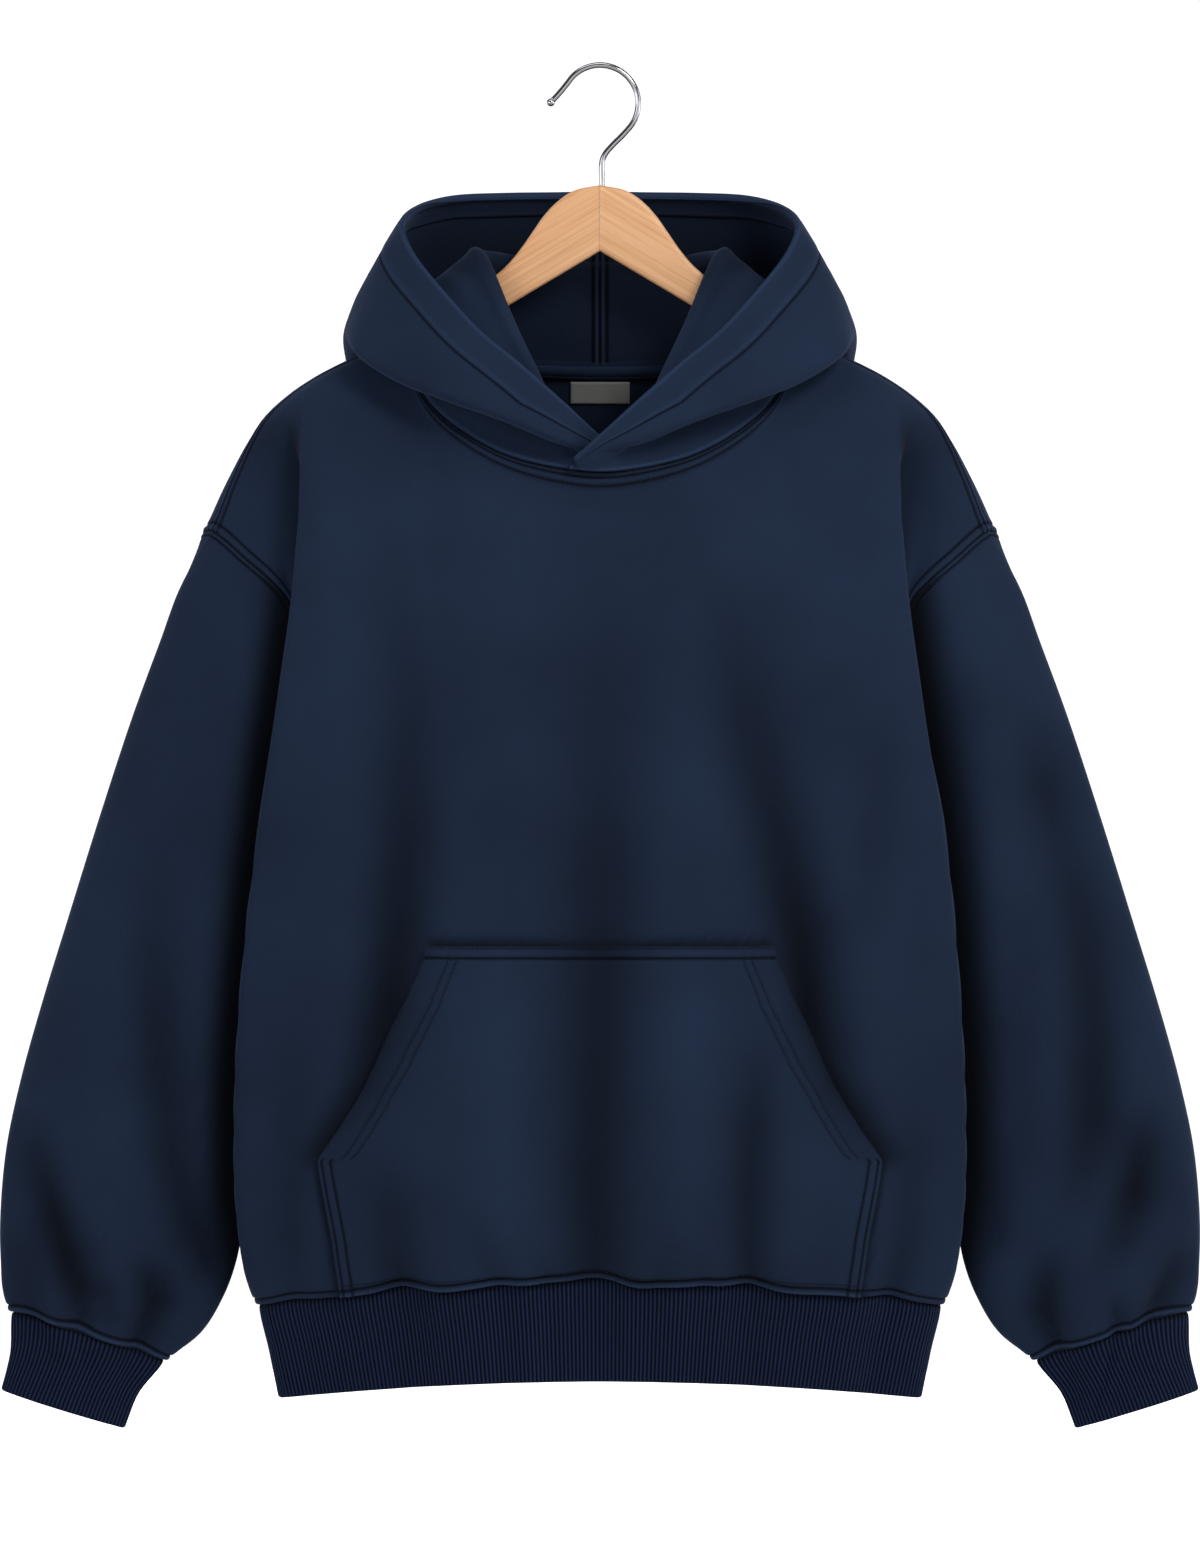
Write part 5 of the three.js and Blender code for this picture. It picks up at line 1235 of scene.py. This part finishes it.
# Painted shade on the pocket's stitch lines and folds, painted highlights on the lips beside them.
line_painted_shade = lambda d, at: bell(d - at, 0.95)
line_painted_highlight = lambda d, at, width: -0.6 * bell(d - at, width)
slant_shade = 0.3 * np.maximum(line_painted_shade(side_d, 15), line_painted_shade(side_d, 20.2))
slant_shade = slant_shade + 0.7 * line_painted_highlight(side_d, 2.2, 1.2)
sewn_shade = np.maximum(line_painted_shade(side_d, 3.4), line_painted_shade(side_d, 9.3)) + line_painted_highlight(side_d, 1.8, 0.9)
side_shade = np.where(open_side, slant_shade, sewn_shade + line_painted_highlight(side_d, 6.4, 1.8))
top_shade = line_painted_shade(top_d, 8.3) + line_painted_highlight(top_d, 4.6, 2.4) + 0.5 * line_painted_shade(top_d, 2.6)
pocket_shade = np.where((top_d < 9) | (side_d > 26), top_shade, side_shade)
# A painted shadow line along the pocket's edges.
pocket_shade = np.maximum(pocket_shade, 1.1 * bell(edge_d, 0.8))
pocket_shade = limited(pocket_shade + painted_shade(hem_d, 6) + PAINTED_FOLD_SHADE * pressed(FRONT_FOLDS, px, pz))
pieces["pocket"] = wall("hoodie_pocket", pocket_far, pocket_near, fleece, flip=True, shade=pocket_shade)
corner_row = int(np.argmin(np.abs(rows_z - POCKET_CORNER_Z)))
sew_top = slice(TOP_STEPS.index(8.9), corner_row)
sew_side = slice(corner_row, -1)
fine_stitch = {"length": 1.7, "radius": 0.34}
for offset, rows, kind in (
    (15, sew_top, fine_stitch), (20.2, sew_top, fine_stitch), (3.4, sew_side, {}), (9.3, sew_side, {}),
):
    for column in (SIDE_STEPS.index(offset), -SIDE_STEPS.index(offset) - 1):
        threads["pocket"].add(pocket_far[rows, column], pocket_normals[rows, column], **kind)
sewn_hem = int(np.argmin(np.abs(hem_d[:, hem_d.shape[1] // 2] - 6)))
threads["pocket"].add(pocket_far[sewn_hem, 3:-3], pocket_normals[sewn_hem, 3:-3])
for offset in (1.5, 8.3):
    row = TOP_STEPS.index(offset)
    threads["pocket"].add(pocket_far[row, 3:-3], pocket_normals[row, 3:-3])

# Back neck tape and label, inside
top = len(back.base) - 1
tape_half = 12 * (1 - TAPE_FROM)
tape_columns = [c for c in back.neck_columns if abs(back.column_place[-1, c] - back.middle) < tape_half]
seam_points = back.base[top, tape_columns]
below = unit(back.base[top - 5, tape_columns] - seam_points)
above = np.tile(np.array([0.0, 0.05, 1.0]), (len(seam_points), 1))
inward = -back.normals[top - 4, tape_columns]
# Distance up from the neck seam and height over the cloth, across the tape.
TAPE_PROFILE = [
    (-7, 0.9), (-6.4, 1.5), (-5.6, 1.9), (-4.9, 1.2), (-4.2, 1.9), (-2.6, 2.3), (-0.6, 2.5), (1.4, 2.3),
    (2.6, 1.8), (3.2, 1.2), (3.8, 1.7), (4.4, 0.9),
]
tape_rows = []
for offset, height in TAPE_PROFILE:
    along = below * -offset if offset < 0 else above * offset
    tape_rows.append(seam_points + along + inward * (FLEECE + 0.6 + height))
tape_far = np.stack(tape_rows)
tape_near = np.stack([row - inward * 1.2 for row in tape_rows])
# Painted shade along the tape's edges and stitch rows.
tape_shade = np.zeros(tape_far.shape[:2])
tape_shade[[0, 3, 9, 11]] = 0.9
pieces["neck_tape"] = wall("hoodie_neck_tape", tape_far, tape_near, fleece, shade=tape_shade)
for row in (3, 9):
    threads["hood"].add(tape_far[row], inward)

label_x = np.linspace(-LABEL["half_width"], LABEL["half_width"], 40)
label_z = np.linspace(LABEL["bottom"], LABEL["top"], 18)
inside = (back.base - back.normals * FLEECE)[-60:, 20:-20]
inner_back = Ground(inside, np.arange(-60, 60.1, 2.0), np.arange(-260, -196, 1.0))
lx, lz = np.meshgrid(label_x, label_z)
label_at, label_normal = inner_back.place(lx, lz)
label_edge = np.minimum(LABEL["half_width"] - np.abs(lx), np.minimum(lz - LABEL["bottom"], LABEL["top"] - lz))
puff = 0.25 * rise(label_edge / 1.6) + 0.15 * rise((2.2 - label_edge) / 1.5)
label_far = label_at + label_normal * (1.3 + puff - 0.4 * np.exp(-label_edge / 0.4))[..., None]
label_near = label_at + label_normal * 0.4
pieces["label"] = wall("hoodie_label", label_far, label_near, label_cloth)

for name, made in threads.items():
    pieces["thread_" + name] = made.object("hoodie_thread_" + name, thread)


# Hanger
WOOD_HALF = 6.0
WOOD_SECTIONS = 120
WOOD_CORNERS = 28
WOOD_UPPER = [
    (0, -79.6), (17.6, -83.3), (29.3, -91.1), (38.4, -100.8), (46.2, -111.9), (55.4, -124.9), (64.5, -135.3),
    (76.2, -145), (92, -159.5), (110, -176), (130, -190.5),
    (163, -200.3), (194, -216.1), (201, -221), (206, -228),
]
WOOD_LOWER = [(0, -124.6), (68.3, -165.3), (190, -238.5), (203, -236.5)]


def hanger_half(side):
    upper = line_through([(x, z, 0) for x, z in WOOD_UPPER], [8] * (len(WOOD_UPPER) - 1))
    lower = at_share(np.array([(x, z, 0) for x, z in WOOD_LOWER], float), np.linspace(0, 1, 400))
    shares = np.linspace(0, 1, WOOD_SECTIONS)
    slant = unit(np.array([68.3, -40.7, 0]))
    angle = np.arange(WOOD_CORNERS) * 2 * math.pi / WOOD_CORNERS
    c, s = np.cos(angle), np.sin(angle)
    sections = []
    for share, a, b in zip(shares, at_share(upper, shares), at_share(lower, shares)):
        middle, half = (a + b) / 2, (a - b) / 2
        end = rise((1 - share) / 0.012) if share > 0.988 else 1
        power_h = min(1.0, 2 * 3.2 / max(np.linalg.norm(half), 1))
        along = np.sign(s) * np.abs(s) ** power_h
        y = WOOD_HALF * np.sign(c) * np.abs(c) ** 0.32 * max(end, 0.05)
        x, z = middle[0] + half[0] * along, middle[1] + half[1] * along
        sections.append(np.stack([side * x, y, z], axis=-1))
    flat = np.stack(sections).reshape(-1, 3)
    index = grid_index(WOOD_SECTIONS, WOOD_CORNERS, True)
    caps = []
    for ring in (index[0], index[-1]):
        for i in range(WOOD_CORNERS // 2 - 1):
            caps.append((ring[i], ring[i + 1], ring[WOOD_CORNERS - 2 - i], ring[WOOD_CORNERS - 1 - i]))
    faces = np.concatenate([quads(index), np.array(caps)])
    if side < 0:
        faces = faces[:, ::-1]
    u = flat[:, 0] * side * slant[0] + flat[:, 2] * slant[1]
    v = (-flat[:, 0] * side * slant[1] + flat[:, 2] * slant[0]) + flat[:, 1] * 0.35 + side * 40
    return flat, faces, np.stack([u, v], axis=-1)


left = hanger_half(1)
right = hanger_half(-1)
hanger_points = np.concatenate([left[0], right[0]])
hanger_faces = np.concatenate([left[1], right[1] + len(left[0])])
hanger_uv = np.concatenate([left[2], right[2]])
pieces["hanger"] = build("hanger_wood", hanger_points, hanger_faces, wood, hanger_uv, hanger_faces)

# Hook
WIRE = 2.0
HOOK_BOW = 26.0
hook_line = [(1.4, -99.6), (1.4, -79.6), (1.4, -64), (3.4, -58.6), (8.4, -52.6), (15.6, -45.4)]
for degrees in range(-32, 149, 12):
    angle = math.radians(degrees)
    hook_line.append((HOOK_BOW * math.cos(angle), WIRE - HOOK_BOW + HOOK_BOW * math.sin(angle)))
hook_line += [(-27.6, -17), (-32.2, -22)]
path = line_through([(x, 0, z) for x, z in hook_line], [7] * (len(hook_line) - 1))
tangent = unit(np.gradient(path, axis=0))
sideways = np.array([0.0, 1.0, 0.0])
lift = np.cross(tangent, sideways)
corners = 20
angle = np.arange(corners) * 2 * math.pi / corners
radius = np.full(len(path), WIRE)
knob = [(0.0, 1.0), (0.3, 1.12), (1.0, 1.32), (2.0, 1.42), (3.0, 1.3), (3.9, 0.95), (4.4, 0.5), (4.55, 0.08)]
extra = np.stack([path[-1] + tangent[-1] * reach for reach, _ in knob])
radius = np.concatenate([radius, [WIRE * size for _, size in knob]])
path = np.concatenate([path, extra])
lift = np.concatenate([lift, np.repeat(lift[-1:], len(knob), 0)])
hook_points = path[:, None] + radius[:, None, None] * (
    sideways * np.cos(angle)[None, :, None] + lift[:, None] * np.sin(angle)[None, :, None]
)
hook_faces = quads(grid_index(len(path), corners, True))
pieces["hook"] = build("hanger_hook", hook_points.reshape(-1, 3), hook_faces[:, ::-1], wire)

# Camera
CAMERA_AWAY = 14.0
CAMERA_Z = -0.4845
SENSOR = 36
# Height of the view at the hanger, in metres.
VIEW_HEIGHT = 1.0615
camera_data = bpy.data.cameras.new("camera")
camera_data.sensor_width = SENSOR
camera_data.lens = SENSOR * CAMERA_AWAY / VIEW_HEIGHT
camera_data.clip_end = 50
camera = bpy.data.objects.new("camera", camera_data)
camera.location = (0, -CAMERA_AWAY, CAMERA_Z)
camera.rotation_euler = (math.radians(90), 0, 0)
bpy.context.scene.collection.objects.link(camera)
bpy.context.scene.camera = camera


def area_light(name, at, target, size, power, tint=(1, 1, 1)):
    data = bpy.data.lights.new(name, "AREA")
    data.shape = "RECTANGLE"
    data.size, data.size_y = size
    data.energy = power
    data.color = tint
    made = bpy.data.objects.new(name, data)
    made.location = at
    direction = np.array(target, float) - np.array(at, float)
    pitch = math.atan2(math.hypot(direction[0], direction[1]), -direction[2])
    made.rotation_euler = (pitch, 0, math.atan2(-direction[0], direction[1]))
    bpy.context.scene.collection.objects.link(made)


area_light("key", (1.6, -2.6, 1.7), (0, 0, -0.45), (1.1, 1.1), 50, (1, 0.99, 0.98))
area_light("side", (2.6, -0.7, 0.1), (0, 0, -0.5), (0.5, 1.6), 12, (0.95, 0.97, 1))
area_light("fill", (-2.4, -2.2, 0.2), (0, 0, -0.5), (1.4, 1.8), 20, (0.96, 0.98, 1))
area_light("top", (-0.3, -0.7, 1.7), (0, 0, -0.3), (1.6, 0.8), 9)

world = bpy.data.worlds.new("studio")
world.use_nodes = True
feed(world.node_tree, world.node_tree.nodes["Background"], {"Color": (1, 1, 1, 1), "Strength": 0.04})
bpy.context.scene.world = world
bpy.context.scene.view_settings.view_transform = "Standard"

# A round pale studio: a floor that glows far from the garment only, and a bright wall behind and
# along the horizon, so that the light on the garment itself stays soft and from above.
FLOOR_Z = -1600.0
STUDIO = 25000.0


def paper(name, base, glow, paths):
    """Pale paper whose glow follows the place on it: the brightest of some (source, from, to) ramps."""
    made, tree, shader = material(name, (base, base, base, 1), 0.9, {"Emission Color": (1, 1, 1, 1)})
    place = node(tree, "ShaderNodeTexCoord").outputs["Object"]
    axes = node(tree, "ShaderNodeSeparateXYZ", {0: place})
    away = node(tree, "ShaderNodeVectorMath", {0: place}, operation="LENGTH")
    last = None
    for source, start, end in paths:
        value = away.outputs["Value"] if source == "away" else axes.outputs[source]
        limits = {"Value": value, "From Min": start, "From Max": end, "To Min": glow, "To Max": 1.06}
        glows = node(tree, "ShaderNodeMapRange", limits).outputs["Result"]
        if last:
            glows = node(tree, "ShaderNodeMath", {0: last, 1: glows}, operation="MAXIMUM").outputs[0]
        last = glows
    feed(tree, shader, {"Emission Strength": last})
    made.cycles.emission_sampling = "NONE"
    return made


STUDIO_SIDES = 64
turns = np.arange(STUDIO_SIDES + 1) * 2 * math.pi / STUDIO_SIDES
circle = np.stack([np.cos(turns), np.sin(turns), 0 * turns], axis=-1)
studio = {
    "studio_floor": (
        [circle * r + (0, 0, FLOOR_Z) for r in (1.0, 3000.0, 7000.0, STUDIO)],
        0.8, 0.07, [("away", 3.8, 7.6)],
    ),
    "studio_wall": (
        [circle * STUDIO + (0, 0, z) for z in (FLOOR_Z, 2000.0, 6000.0, 20000.0)],
        0.05, 0.03, [("Z", 2.6, 1.2), ("Y", 13.0, 17.0)],
    ),
}
for name, (rings, base, glow, paths) in studio.items():
    points = np.stack(rings)
    faces = quads(grid_index(*points.shape[:2]))
    build(name, points.reshape(-1, 3), faces, paper(name, base, glow, paths))

NODES = (
    "front", "back", "sleeve_left", "sleeve_right", "hood_left", "hood_right", "pocket", "hem_band",
    "cuff_left", "cuff_right", "neck_tape", "label", "hanger", "hook",
)
for name, piece in pieces.items():
    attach(piece, "root")
    if name in NODES:
        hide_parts(name)

triangles = {name: 2 * len(piece.data.polygons) for name, piece in pieces.items()}
print("triangles", sum(triangles.values()), triangles)
